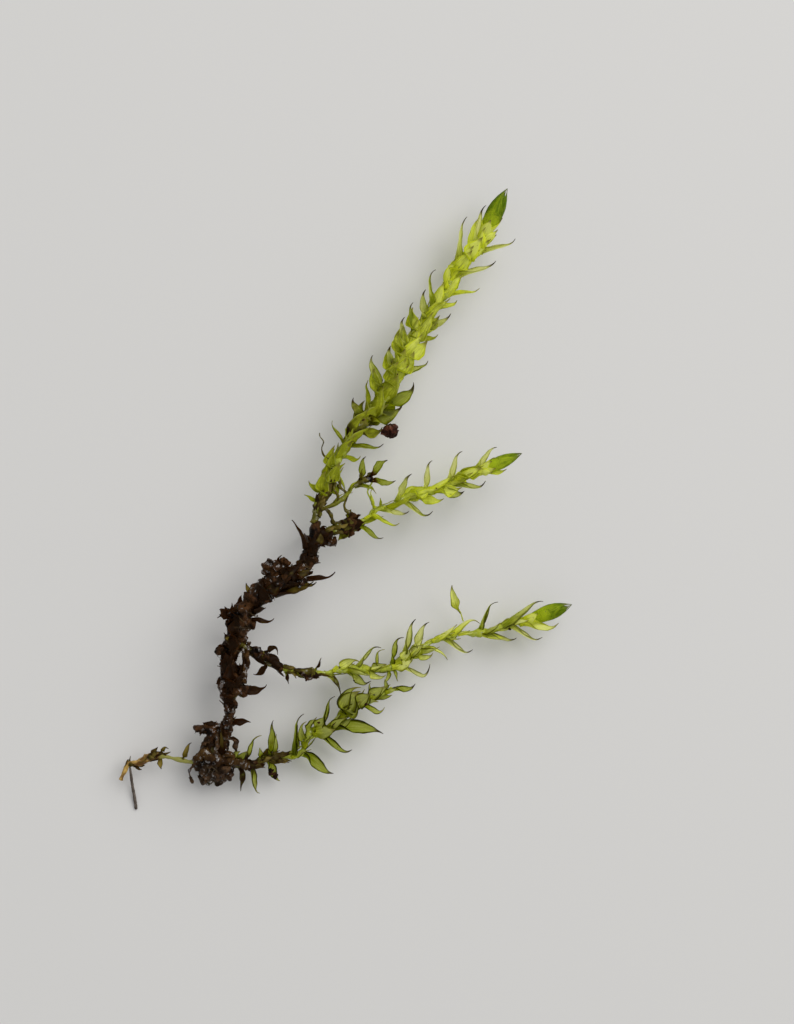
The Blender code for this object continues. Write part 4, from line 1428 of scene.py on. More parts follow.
@dataclass
class Clump:
    """The dark mass at the stem's foot: a tangle of old bark, strands and soil."""

    centre: Row
    radii: Row
    strands: tuple[Rows, ...]
    cords: tuple[Rows, ...]
    lumps: int = 16
    thick_fibres: int = 16
    fine_fibres: int = 26
    seed: int = 31

    def build(self) -> None:
        """Makes the lumpy mass, the fibres on it and the cords that run over it."""
        rng = Random(self.seed)
        centre = seen_point(*self.centre)
        mass = self.mass(centre, rng)
        fibres = self.add_fibres(Skin(), centre, self.fine_fibres, (1.0, 1.15), 0.012, rng)
        layers = (
            ("mass", Look.CLUMP, mass),
            ("fibres", Look.FIBRE, fibres),
            ("cords", Look.CORD, lay_strands(self.cords, 0.95)),
        )
        for name, look, skin in layers:
            skin.piece(f"base_clump_{name}", look, "old_stem", "base_clump")

    def mass(self, centre: Array, rng: Random) -> Skin:
        """Melts lumps, strands and thick fibres into one mass.

        Args:
            centre: Its middle.
            rng: The source of its irregularities.

        Returns:
            Its skin.
        """
        radii = np.array(self.radii)
        shells = Skin()
        add_lump(shells, centre, radii * 0.85, 0.7, 3, rng)
        for number in range(self.lumps):
            height = 1 - 2 * (number + 0.5) / self.lumps
            turn = number * SPIRAL_ANGLE
            ring = math.sqrt(1 - height * height)
            off = np.array((ring * math.cos(turn), ring * math.sin(turn), height)) * radii
            sizes = three(rng, 0.07, 0.17)
            add_lump(shells, centre + off * rng.uniform(0.60, 0.80), sizes, 0.8, 2, rng)
        for strand in self.strands:
            add_strand(shells, strand)
        self.add_fibres(shells, centre, self.thick_fibres, (0.9, 1.1), 0.04, rng)
        return melt(shells, 0.02, ((0.15, 0.08), (0.06, 0.025)))

    def add_fibres(self, skin: Skin, centre: Array, count: int, reach: Span,
                   thick: float, rng: Random) -> Skin:
        """Winds fibres round the mass.

        Args:
            skin: Where they go.
            centre: The mass's middle.
            count: How many there are.
            reach: Their distance from the middle, from least to most, as shares of the least radius.
            thick: Their radius.
            rng: The source of their courses.

        Returns:
            The same skin.
        """
        for _ in range(count):
            way = unit(np.array([rng.uniform(-1, 1), rng.uniform(-1, 1), rng.uniform(-0.4, 0.4)]))
            add_fibre(skin, centre, way, min(self.radii) * rng.uniform(*reach), thick, rng)
        return skin


@dataclass
class Runner:
    """The pale creeping stem at the left, with its small scale leaves."""

    knots: Rows
    grown: Rows
    ages: Rows = ((0.0, 0.9), (0.52, 0.9), (0.62, 0.25), (1.0, 0.0))
    scales: int = 18
    seed: int = 41

    def build(self) -> None:
        """Makes the runner, orange at its tip and pale green at the shoot, and its scale leaves."""
        shoot = LeafyShoot("runner", "", self.knots, (), self.grown, self.ages, lead=0.0, seed=self.seed)
        skin = Skin()
        ages = shoot.age_at(shoot.course.shares)
        shoot.course.add_to(skin, 0.85 + 0.10 * ages, ((0.25, 0.6), (0.08, 0.5)), tint=0.3, age=ages)
        skin.piece("runner_stalk", Look.RUNNER, "runner", "runner")
        leaves = Skin()
        for row in self.grown:
            shoot.leaf(row, 1.1).add_to(leaves, shoot.rng)
        sizes = {"reach": (0.1, 0.26), "off": 0.03, "ages": (0.3, 0.8)}
        for blade in worn_blades(shoot.course, 0.12, 0.6, self.scales, shoot.rng, **sizes):
            replace(blade, width=blade.width * 0.7).add_to(leaves, shoot.rng)
        leaves.piece("runner_scale_leaves", Look.WORN, "runner", "runner")


@dataclass
class Rootlet:
    """The single dark hair that props the runner's tip."""

    knots: Rows
    lead: float = 0.1
    step: float = 0.03

    def build(self) -> None:
        """Makes the rootlet."""
        skin = Skin()
        Course(self.knots, self.lead, self.step).add_to(skin, 1.2, ((0.1, 0.3), (0.03, 0.2)), 12, age=1.0)
        skin.piece("rootlet_hair", Look.ROOTLET, "rootlet", "rootlet")


@dataclass
class Grain:
    """The dark red grain of soil caught between two leaves."""

    centre: Row
    radius: float
    lumps: int = 9
    seed: int = 51

    def build(self) -> None:
        """Makes the grain."""
        shells = Skin()
        rng = Random(self.seed)
        add_knot(shells, seen_point(*self.centre), self.radius, rng, self.lumps, 0.5, (0.45, 0.65), 0.6)
        melted = melt(shells, 0.012, ((0.07, 0.02), (0.03, 0.008)))
        melted.piece("soil_grain_mass", Look.GRAIN, "grain", "soil_grain")


@dataclass
class SpindleLeaf:
    """The narrow rolled leaf that stands off the middle branch on a thread."""

    foot: Row
    tip: Row
    width: float = 0.25
    thread_share: float = 0.22  # of its whole length
    thread_radius: float = 0.014
    seed: int = 61

    def build(self) -> None:
        """Makes the rolled leaf and its thread."""
        foot, tip = seen_point(*self.foot), seen_point(*self.tip)
        body_foot = blend(foot, tip, self.thread_share)
        way = unit(tip - foot)
        skin = Skin()
        Blade(
            body_foot, tip, way, unit(np.cross(way, UP)), unit(EYE - foot), self.width, stem_radius=0.05,
            bow=0.03, cup=1.25, shoulder=0.34, foot_share=0.2, tint=0.4, rows=26, columns=11, age=0.22,
            foot_age=0.4, hook=0.05,
        ).add_to(skin, Random(self.seed))
        knots = np.array([blend(foot, body_foot, share) + UP * 0.01 for share in (0.0, 0.5, 1.15)])
        ways = unit(np.gradient(knots, axis=0))
        radii = np.full((len(knots), 6), self.thread_radius)
        points, faces = tube_shell(knots, radii, steady_sides(ways), ways)
        skin.add(points, faces, along=0.1, tint=0.3)
        skin.piece("spindle_leaf_blade", Look.RIMMED_CLASPING, "young_leaf", "spindle_leaf")


@dataclass
class Twigs:
    """Thin loose strands between the branches."""

    green: tuple[Rows, ...]
    dark: tuple[Rows, ...]
    green_age: float = 0.1
    dark_age: float = 0.75

    def build(self) -> None:
        """Makes all of them as one piece."""
        skin = Skin()
        for twigs, age in ((self.green, self.green_age), (self.dark, self.dark_age)):
            for rows in twigs:
                add_strand(skin, rows, age)
        skin.piece("loose_twigs", Look.STEM, "shoot")


@dataclass
class Crumbs:
    """Small dark bits of soil that stick to the side that faces the eye."""

    places: Rows  # plan place and radius
    seed: int = 71

    def build(self) -> None:
        """Sets each crumb on what is under it, seen from the eye."""
        rng = Random(self.seed)
        # Only the meshes of finished pieces have surface values
        trees = [
            bvhtree.BVHTree.FromPolygons([v.co for v in mesh.vertices], [f.vertices for f in mesh.polygons])
            for mesh in bpy.data.meshes if "across" in mesh.attributes
        ]
        eye = Vector(EYE * MM)
        skin = Skin()
        for x, y, radius in self.places:
            toward = (Vector(seen_point(x, y, SEEN_LEVEL) * MM) - eye).normalized()
            hits = [hit for hit in (tree.ray_cast(eye, toward) for tree in trees) if hit[0] is not None]
            if hits:
                place = np.array(min(hits, key=lambda hit: hit[3])[0]) / MM
                add_lump(skin, place, (radius, radius * 0.8, radius * 0.6), 0.6, 2, rng)
        skin.piece("soil_crumbs", Look.BARK, "old_stem")


@dataclass
class Studio:
    """A pale floor, soft light from the upper right, and the camera. Lengths are in metres."""

    floor_size: float = 0.4
    key_size: float = 0.20
    key_distance: float = 0.17
    key_power: float = 0.225
    key_way: Row = (0.60, 0.66, 1.05)
    key_colour: Row = (1.0, 0.985, 0.96)
    sky: float = 0.50
    sky_colour: Row = (0.97, 0.985, 1.0)
    floor_colour: Row = (0.70, 0.69, 0.675)
    lens: float = 70.3125
    sensor: float = 36.0

    def build(self) -> None:
        """Makes the floor, the lights and the camera."""
        bpy.context.scene.view_settings.view_transform = "Standard"
        self.floor()
        self.lights()
        self.camera()

    def floor(self) -> None:
        """Makes a plain pale floor."""
        half = self.floor_size / 2
        corners = [(-half, -half, 0), (half, -half, 0), (half, half, 0), (-half, half, 0)]
        mesh = bpy.data.meshes.new("floor")
        mesh.from_pydata(corners, [], [(0, 1, 2, 3)])
        paint = bpy.data.materials.new("floor")
        paint.use_nodes = True
        shader = paint.node_tree.nodes["Principled BSDF"]
        shader.inputs["Base Color"].default_value = (*self.floor_colour, 1.0)
        shader.inputs["Roughness"].default_value = 0.9
        shader.inputs["Specular IOR Level"].default_value = 0.2
        mesh.materials.append(paint)
        put("floor", mesh)

    def lights(self) -> None:
        """Makes a broad soft light from the upper right, and an even pale surrounding."""
        data = bpy.data.lights.new("key", "AREA")
        data.energy, data.size = self.key_power, self.key_size
        data.color = self.key_colour
        toward = Vector(self.key_way).normalized()
        lamp = put("key", data)
        lamp.location = toward * self.key_distance
        lamp.rotation_euler = toward.to_track_quat("Z", "Y").to_euler()
        world = bpy.data.worlds.new("surrounding")
        world.use_nodes = True
        sky = world.node_tree.nodes["Background"]
        sky.inputs["Color"].default_value = (*self.sky_colour, 1.0)
        sky.inputs["Strength"].default_value = self.sky
        bpy.context.scene.world = world

    def camera(self) -> None:
        """Sets the photograph's viewpoint and direction, worked out from the sheet's ruled lines."""
        data = bpy.data.cameras.new("eye")
        data.lens, data.sensor_width, data.sensor_fit = self.lens, self.sensor, "AUTO"
        data.clip_start, data.clip_end = 0.001, 10.0
        turn = Matrix(((0.97306, 0.0, -0.23056), (-0.024645, 0.99427, -0.10401), (0.22923, 0.10689, 0.96748)))
        camera = put("eye", data)
        camera.matrix_world = Matrix.Translation(Vector(EYE) * MM) @ turn.to_4x4()
        bpy.context.scene.camera = camera


# Stems, stubs, strands and lumps: plan place, height and radius
MAIN_SHOOT = (
    (-0.89, -0.78, 1.02, 0.10), (-0.82, -0.55, 1.03, 0.11), (-0.67, -0.25, 1.05, 0.11),
    (-0.62, 0.05, 1.06, 0.10), (-0.45, 0.39, 1.05, 0.11), (-0.20, 0.75, 1.02, 0.12),
    (-0.07, 1.00, 1.00, 0.14), (0.10, 1.25, 0.97, 0.15), (0.45, 1.55, 0.93, 0.16), (0.68, 1.92, 0.90, 0.16),
    (0.92, 2.33, 0.87, 0.15), (1.15, 2.85, 0.83, 0.15), (1.50, 3.30, 0.80, 0.14), (1.73, 3.68, 0.78, 0.12),
    (1.92, 3.98, 0.76, 0.11), (2.13, 4.20, 0.75, 0.12), (2.24, 4.45, 0.74, 0.11), (2.39, 4.78, 0.73, 0.12),
    (2.69, 5.08, 0.72, 0.13), (2.98, 5.35, 0.72, 0.13), (3.14, 5.70, 0.73, 0.12),
)
OLD_STEM = (
    (-3.05, -5.87, 0.60, 0.15), (-3.03, -5.60, 0.70, 0.13), (-2.95, -5.28, 0.80, 0.14),
    (-2.88, -5.02, 0.85, 0.10), (-2.88, -4.85, 0.88, 0.12), (-2.85, -4.60, 0.92, 0.23),
    (-2.82, -4.30, 0.95, 0.25), (-2.88, -4.00, 0.98, 0.18), (-2.84, -3.70, 1.00, 0.22),
    (-2.70, -3.35, 1.03, 0.22), (-2.68, -3.10, 1.05, 0.25), (-2.55, -2.87, 1.08, 0.26),
    (-2.30, -2.62, 1.10, 0.23), (-2.05, -2.38, 1.10, 0.24), (-1.75, -2.20, 1.10, 0.27),
    (-1.42, -2.04, 1.08, 0.23), (-1.13, -1.80, 1.06, 0.14), (-1.03, -1.50, 1.05, 0.17),
    (-0.95, -1.20, 1.03, 0.15), (-0.90, -0.90, 1.02, 0.12),
)
UPPER_BRANCH = (
    (-0.72, -1.14, 1.02, 0.09), (-0.44, -1.06, 1.03, 0.14), (-0.22, -0.98, 1.03, 0.18),
    (-0.02, -0.95, 1.02, 0.12), (0.13, -0.87, 1.01, 0.06), (0.27, -0.80, 1.00, 0.05),
    (0.38, -0.65, 1.00, 0.06), (0.55, -0.60, 1.00, 0.07), (0.78, -0.57, 1.00, 0.09),
    (0.98, -0.43, 1.00, 0.09), (1.15, -0.35, 1.00, 0.08), (1.30, -0.30, 1.00, 0.09),
    (1.53, -0.25, 1.00, 0.10), (1.75, -0.21, 0.99, 0.09), (1.95, -0.12, 0.98, 0.08),
    (2.20, -0.03, 0.97, 0.08), (2.36, 0.09, 0.96, 0.09), (2.62, 0.19, 0.95, 0.09), (2.88, 0.25, 0.95, 0.08),
)
MIDDLE_BRANCH = (
    (-2.50, -3.63, 0.98, 0.09), (-2.32, -3.72, 0.97, 0.12), (-2.12, -3.83, 0.95, 0.12),
    (-1.95, -3.95, 0.92, 0.09), (-1.75, -4.05, 0.88, 0.09), (-1.60, -4.12, 0.84, 0.09),
    (-1.42, -4.15, 0.80, 0.05), (-1.25, -4.17, 0.77, 0.07), (-1.08, -4.19, 0.74, 0.11),
    (-0.92, -4.19, 0.72, 0.06), (-0.72, -4.21, 0.69, 0.04), (-0.50, -4.15, 0.66, 0.09),
    (-0.25, -4.12, 0.64, 0.11), (0.00, -4.13, 0.62, 0.09), (0.25, -4.17, 0.60, 0.07),
    (0.50, -4.15, 0.59, 0.08), (0.75, -4.08, 0.58, 0.11), (0.95, -3.97, 0.57, 0.12),
    (1.15, -3.86, 0.56, 0.11), (1.35, -3.74, 0.55, 0.09), (1.55, -3.62, 0.55, 0.06),
    (1.75, -3.52, 0.55, 0.07), (2.00, -3.46, 0.55, 0.06), (2.25, -3.41, 0.55, 0.05),
    (2.50, -3.39, 0.55, 0.06), (2.75, -3.38, 0.55, 0.10), (3.00, -3.33, 0.55, 0.08),
    (3.25, -3.24, 0.55, 0.07), (3.50, -3.18, 0.55, 0.07), (3.75, -3.12, 0.55, 0.06),
    (3.94, -3.08, 0.55, 0.06),
)
LOWER_BRANCH = (
    (-2.78, -6.08, 0.50, 0.10), (-2.50, -6.14, 0.50, 0.09), (-2.32, -6.12, 0.50, 0.08),
    (-2.16, -6.02, 0.50, 0.10), (-2.00, -6.00, 0.50, 0.09), (-1.88, -6.02, 0.50, 0.04),
    (-1.75, -5.97, 0.50, 0.07), (-1.50, -5.98, 0.51, 0.08), (-1.30, -5.90, 0.52, 0.08),
    (-1.22, -5.68, 0.55, 0.08), (-1.13, -5.50, 0.58, 0.14), (-0.93, -5.48, 0.60, 0.11),
    (-0.74, -5.43, 0.60, 0.08), (-0.55, -5.32, 0.60, 0.09), (-0.38, -5.14, 0.62, 0.09),
    (-0.22, -4.97, 0.64, 0.10), (0.00, -4.88, 0.65, 0.11), (0.25, -4.78, 0.66, 0.10),
    (0.50, -4.68, 0.66, 0.08), (0.72, -4.57, 0.66, 0.05),
)
SIDE_BRANCHLET = (
    (-0.66, -0.58, 1.08, 0.04), (-0.35, -0.42, 1.13, 0.05), (-0.20, -0.30, 1.15, 0.06),
    (-0.07, -0.13, 1.17, 0.06), (0.13, 0.00, 1.20, 0.06), (0.30, 0.06, 1.22, 0.07),
)
RUNNER = (
    (-5.21, -6.38, 0.30, 0.06), (-5.13, -6.18, 0.33, 0.06), (-5.04, -6.05, 0.36, 0.07),
    (-4.85, -6.04, 0.40, 0.07), (-4.62, -5.94, 0.45, 0.09), (-4.45, -5.88, 0.47, 0.08),
    (-4.30, -5.90, 0.48, 0.06), (-4.10, -5.96, 0.49, 0.05), (-3.85, -6.02, 0.50, 0.05),
    (-3.68, -6.05, 0.50, 0.05),
)
OLD_STUBS = (
    ((-2.95, -5.30, 0.80, 0.12), (-3.30, -5.33, 0.80, 0.12), (-3.64, -5.36, 0.78, 0.11)),
    ((-3.26, -5.35, 0.78, 0.08), (-3.28, -5.60, 0.70, 0.10), (-3.33, -5.84, 0.62, 0.08)),
    ((-2.62, -2.92, 1.08, 0.16), (-2.92, -2.90, 1.10, 0.12)),
    ((-1.00, -1.30, 1.05, 0.15), (-0.75, -1.27, 1.04, 0.15), (-0.48, -1.38, 1.02, 0.08)),
    ((-0.90, -1.10, 1.10, 0.10), (-0.72, -1.12, 1.14, 0.08)),
)
OLD_STRANDS = (
    ((-2.44, -3.50, 1.04, 0.06), (-2.43, -3.80, 1.04, 0.05), (-2.48, -4.10, 1.02, 0.045),
     (-2.56, -4.38, 1.00, 0.06)),
    ((-2.52, -3.48, 1.02, 0.06), (-2.50, -3.85, 1.00, 0.04), (-2.55, -4.08, 1.00, 0.04),
     (-2.64, -4.34, 0.98, 0.06)),
)
OLD_LUMPS = (
    (-1.66, -1.76, 1.20, 0.11), (-1.84, -1.97, 1.18, 0.20), (-2.35, -2.45, 1.20, 0.13),
    (-2.42, -3.08, 1.05, 0.15), (-3.03, -3.66, 1.00, 0.13), (-3.02, -4.38, 0.95, 0.12),
    (-2.58, -4.52, 0.95, 0.15), (-1.35, -2.18, 1.10, 0.16), (-2.05, -2.55, 1.00, 0.15),
)
ROOTLET = (
    (-5.02, -6.16, 0.27, 0.022), (-4.99, -6.40, 0.18, 0.026), (-4.94, -6.70, 0.08, 0.027),
    (-4.90, -7.00, 0.027, 0.027),
)

# Leaves: plan place of the foot and of the tip, height of the tip, width as seen, bow to the left, and
# the age where it isn't the stem's
MAIN_LEAVES = (
    (2.90, 5.20, 3.20, 6.35, 0.80, 0.22, 0.06), (2.48, 4.92, 2.74, 6.07, 0.85, 0.17, 0.06),
    (1.90, 3.95, 1.97, 4.83, 0.95, 0.15, 0.10), (1.60, 3.70, 1.73, 4.36, 1.00, 0.21, 0.05),
    (1.30, 3.40, 1.43, 4.06, 1.00, 0.19, 0.06), (1.10, 3.10, 1.23, 3.72, 1.05, 0.19, 0.06),
    (0.85, 2.50, 0.89, 3.06, 1.10, 0.20, 0.05), (0.60, 2.00, 0.47, 2.85, 1.05, 0.25, 0.07),
    (0.15, 1.40, 0.02, 1.87, 1.15, 0.20, 0.04), (3.03, 5.22, 3.87, 5.60, 0.75, 0.10, -0.06),
    (2.50, 4.60, 3.39, 5.07, 0.75, 0.15, -0.06), (1.65, 3.35, 2.29, 3.83, 0.80, 0.17, -0.05),
    (1.10, 2.30, 1.73, 2.74, 0.85, 0.17, -0.05), (0.60, 1.62, 1.39, 2.25, 0.95, 0.32, -0.10),
    (0.28, 1.22, 1.13, 1.72, 1.00, 0.40, -0.05), (-0.10, 0.78, 0.66, 0.85, 1.00, 0.12, -0.08),
)
BRANCHLET_LEAVES = (
    (0.10, 0.05, 0.25, 0.57, 1.31, 0.16, 0.03, 0.1), (0.32, 0.10, 0.75, 0.47, 1.30, 0.20, 0.04, 0.20),
    (0.37, 0.04, 0.92, 0.03, 1.20, 0.17, -0.04, 0.0),
)
UPPER_LEAVES = (
    (0.05, -1.00, 0.60, -1.25, 0.95, 0.15, -0.05, 0.1), (0.57, -0.62, 1.20, -0.65, 1.05, 0.15, -0.06),
    (0.86, -0.42, 1.29, 0.17, 1.15, 0.20, 0.05), (1.05, -0.42, 1.75, -0.66, 0.90, 0.10, -0.13),
    (1.55, -0.20, 1.77, 0.47, 1.15, 0.17, 0.06), (2.05, -0.02, 2.47, 0.69, 1.15, 0.20, 0.06),
    (2.68, 0.28, 3.28, 0.79, 1.05, 0.17, 0.06), (1.83, -0.20, 2.50, -0.20, 1.00, 0.25, -0.05),
    (2.25, -0.05, 2.99, 0.03, 0.90, 0.10, -0.11),
)
MIDDLE_LEAVES = (
    (-0.02, -4.02, 0.50, -3.68, 0.75, 0.12, 0.09), (-0.22, -4.20, 0.25, -4.40, 0.55, 0.20, -0.08),
    (0.75, -4.00, 1.02, -3.45, 0.80, 0.15, 0.10), (1.02, -3.90, 1.30, -3.05, 0.70, 0.20, 0.05),
    (1.27, -3.75, 1.60, -3.13, 0.75, 0.22, 0.06), (1.00, -4.05, 1.60, -4.05, 0.60, 0.12, -0.20),
    (2.05, -3.52, 2.58, -3.75, 0.50, 0.10, -0.10), (2.80, -3.28, 3.20, -2.70, 0.75, 0.12, 0.10),
    (3.00, -3.38, 3.60, -3.50, 0.50, 0.10, -0.06), (3.38, -3.14, 4.25, -2.70, 0.65, 0.10, 0.06),
    (3.55, -3.22, 4.20, -3.50, 0.50, 0.10, -0.09),
)
LOWER_LEAVES = (
    (-2.06, -5.94, -1.92, -5.20, 0.85, 0.20, 0.04), (-1.55, -5.88, -1.25, -5.08, 0.90, 0.08, 0.10),
    (-0.93, -5.36, -0.56, -4.72, 0.85, 0.12, 0.07), (-1.32, -5.96, -0.63, -6.38, 0.30, 0.28, -0.04),
    (-0.93, -5.60, -0.20, -5.88, 0.45, 0.11, -0.10), (-0.70, -5.47, 0.50, -5.55, 0.55, 0.32, 0.05),
    (0.72, -4.62, 1.25, -4.48, 0.65, 0.15, -0.06),
)

# Small, clasping and worn leaves that are one piece with their stem, in the same form
MAIN_GROWN = (
    (2.20, 4.30, 2.98, 4.43, 0.70, 0.10, -0.05), (3.10, 5.50, 3.42, 5.68, 0.70, 0.12, 0.0),
    (2.74, 5.12, 3.03, 6.05, 0.84, 0.26, 0.05), (2.62, 4.95, 3.10, 5.62, 0.95, 0.42, 0.0),
    (2.42, 4.70, 2.84, 5.30, 0.95, 0.42, 0.0), (1.20, 2.62, 1.74, 3.22, 0.95, 0.42, -0.03),
    (0.98, 2.28, 1.42, 2.95, 1.05, 0.45, -0.03), (0.78, 1.95, 1.06, 2.70, 1.10, 0.42, 0.03),
    (1.42, 3.00, 1.80, 3.60, 0.92, 0.38, 0.0), (1.05, 2.70, 1.10, 3.42, 1.00, 0.34, 0.04),
    (1.22, 2.75, 1.17, 3.56, 0.95, 0.40, 0.02), (0.90, 2.20, 0.88, 3.02, 0.98, 0.40, 0.03),
    (1.60, 3.20, 1.42, 3.95, 0.92, 0.36, 0.04), (0.66, 1.75, 0.50, 2.58, 1.00, 0.34, 0.04),
    (0.30, 1.45, 0.35, 2.28, 0.95, 0.16, 0.03), (-0.72, -0.30, -1.05, 0.02, 1.05, 0.16, 0.03),
    (-0.74, -0.42, -0.66, 0.22, 1.22, 0.34, 0.04), (-0.64, -0.18, -0.34, 0.44, 1.24, 0.34, 0.0),
    (-0.60, 0.12, -0.44, 0.80, 1.20, 0.30, 0.04), (-0.66, -0.30, -0.42, -0.02, 1.10, 0.26, -0.05),
    (-0.86, -0.50, -1.15, -0.30, 1.00, 0.10, 0.0), (-0.35, 0.60, 0.13, 0.57, 0.85, 0.14, -0.06),
    (-0.62, 0.20, -0.25, -0.28, 1.10, 0.08, 0.05), (1.92, 3.95, 2.45, 4.14, 0.60, 0.12, -0.04),
    (1.48, 3.20, 1.98, 3.34, 0.55, 0.14, -0.04), (0.90, 2.20, 1.29, 2.62, 1.10, 0.18, 0.0),
    (0.05, 1.06, 0.64, 1.22, 0.90, 0.30, -0.06), (-0.20, 0.80, -0.48, 1.36, 1.00, 0.10, 0.05),
    (-0.60, 0.10, -0.22, 0.42, 1.10, 0.12, 0.0), (2.20, 4.38, 2.56, 4.98, 0.00, 0.30, 0.0),
    (1.10, 2.75, 1.50, 3.35, 0.00, 0.30, 0.0), (0.00, 1.12, 0.45, 1.62, 0.00, 0.30, 0.0),
)
OLD_GROWN = (
    (-1.45, -2.05, -0.50, -2.00, 1.05, 0.16, -0.06), (-1.45, -2.20, -0.92, -2.22, 0.90, 0.14, -0.04, 0.15),
    (-2.38, -2.55, -2.46, -2.22, 1.30, 0.12, 0.0, 0.25), (-2.45, -2.95, -1.88, -3.00, 1.05, 0.14, -0.06),
    (-2.65, -4.58, -2.06, -4.43, 0.95, 0.22, -0.05), (-2.90, -5.28, -2.42, -5.23, 0.80, 0.22, 0.03),
    (-1.00, -1.55, -1.44, -0.85, 1.15, 0.05, -0.03), (-1.90, -2.42, -0.98, -2.20, 1.08, 0.22, -0.05, 0.45),
    (-1.98, -2.14, -1.26, -1.84, 1.29, 0.34, 0.0, 0.75), (-2.30, -2.46, -1.62, -2.10, 1.31, 0.36, 0.0, 0.7),
    (-1.62, -1.98, -1.02, -1.92, 1.24, 0.26, 0.0, 0.6), (-2.72, -3.04, -3.05, -2.80, 1.22, 0.30, 0.0),
    (-2.62, -3.02, -2.70, -2.72, 1.31, 0.30, 0.0), (-2.80, -3.48, -2.70, -2.96, 1.28, 0.30, 0.0, 1.0),
    (-2.86, -4.46, -2.84, -3.90, 1.20, 0.30, 0.0, 0.95), (-2.80, -4.78, -2.90, -4.34, 1.14, 0.26, 0.0, 1.0),
    (-1.00, -1.50, -0.74, -1.08, 1.20, 0.20, 0.0, 0.5), (-1.55, -2.05, -1.68, -1.62, 1.25, 0.14, 0.08, 1.0),
    (-2.80, -2.92, -3.04, -2.78, 1.12, 0.16, 0.0), (-2.78, -3.62, -3.14, -3.68, 1.05, 0.26, 0.05, 0.9),
    (-2.72, -3.50, -2.96, -3.42, 1.25, 0.12, 0.0, 0.0), (-2.98, -5.55, -2.78, -5.78, 0.75, 0.10, 0.10),
    (-3.20, -5.90, -3.07, -5.34, 0.96, 0.14, 0.0, 0.45), (-2.85, -4.35, -3.16, -4.38, 1.00, 0.16, 0.0),
    (-2.72, -4.00, -2.50, -4.18, 0.85, 0.12, 0.0), (-1.75, -2.30, -1.15, -2.20, 0.80, 0.26, -0.08),
    (-1.40, -1.95, -1.22, -1.72, 1.20, 0.16, 0.0), (-2.66, -3.30, -2.95, -3.45, 0.00, 0.20, 0.0),
    (-2.80, -4.30, -3.10, -4.45, 0.00, 0.20, 0.0), (-2.00, -2.40, -2.20, -2.15, 0.00, 0.20, 0.0),
    (-1.00, -1.40, -1.15, -1.15, 0.00, 0.18, 0.0),
)
UPPER_GROWN = (
    (-0.20, -0.98, -0.42, -1.30, 1.00, 0.20, 0.0), (-0.22, -0.90, -0.10, -0.62, 1.10, 0.20, 0.0),
    (0.40, -0.80, 0.98, -0.92, 0.90, 0.10, -0.08), (0.40, -0.62, 0.40, -0.15, 1.15, 0.07, 0.05),
    (0.53, -0.58, 0.56, -0.36, 1.15, 0.07, 0.0), (1.25, -0.30, 2.02, -0.38, 1.05, 0.24, -0.05),
    (2.25, 0.03, 2.95, 0.30, 1.10, 0.22, 0.03), (3.00, 0.22, 3.50, 0.30, 0.90, 0.14, -0.04),
    (1.00, -0.42, 1.50, -0.27, 0.00, 0.24, 0.0), (2.10, -0.06, 2.60, 0.16, 0.00, 0.24, 0.0),
    (2.25, 0.10, 3.05, 0.38, 1.03, 0.36, 0.0), (1.75, -0.17, 2.44, -0.12, 1.03, 0.32, -0.03),
    (1.22, -0.32, 1.75, -0.16, 1.05, 0.34, 0.0),
)
MIDDLE_GROWN = (
    (3.72, -3.15, 4.60, -3.18, 0.55, 0.24, -0.10), (-2.15, -3.82, -1.80, -3.78, 1.05, 0.12, 0.12, 1.0),
    (-2.08, -3.95, -2.36, -4.20, 0.80, 0.14, 0.06, 1.0), (-1.62, -4.10, -1.58, -4.42, 0.65, 0.10, 0.0, 1.0),
    (-1.45, -4.16, -1.22, -4.32, 0.65, 0.12, 0.0, 0.4), (-0.97, -4.16, -0.85, -3.87, 0.90, 0.07, 0.0, 1.0),
    (-0.75, -4.21, -0.43, -4.72, 0.35, 0.08, 0.05, 0.6), (0.20, -4.17, 0.62, -4.04, 0.75, 0.20, 0.0),
    (0.85, -3.99, 1.22, -3.70, 0.72, 0.28, 0.0), (1.08, -3.88, 1.47, -3.62, 0.70, 0.24, 0.0),
    (-0.58, -4.15, 0.02, -3.98, 0.75, 0.22, 0.06), (0.44, -4.12, 0.57, -3.72, 0.85, 0.08, 0.10),
    (0.14, -4.16, 0.60, -4.27, 0.60, 0.16, -0.06), (1.25, -3.85, 1.66, -3.80, 0.60, 0.16, -0.05),
    (1.55, -3.72, 2.00, -3.97, 0.45, 0.07, 0.05), (1.80, -3.50, 2.25, -3.18, 0.70, 0.08, 0.0),
    (2.18, -3.42, 2.76, -3.17, 0.65, 0.08, 0.13), (2.72, -3.42, 3.42, -3.54, 0.45, 0.12, 0.0),
    (0.76, -4.15, 0.56, -4.46, 0.50, 0.10, 0.0), (0.82, -4.12, 0.86, -4.42, 0.50, 0.08, 0.0),
    (0.80, -4.04, 1.25, -3.84, 0.00, 0.22, 0.0), (3.25, -3.24, 3.70, -3.12, 0.00, 0.20, 0.0),
    (1.90, -3.47, 2.30, -3.40, 0.00, 0.18, 0.0), (-0.40, -4.13, 0.00, -4.12, 0.00, 0.20, 0.0),
)
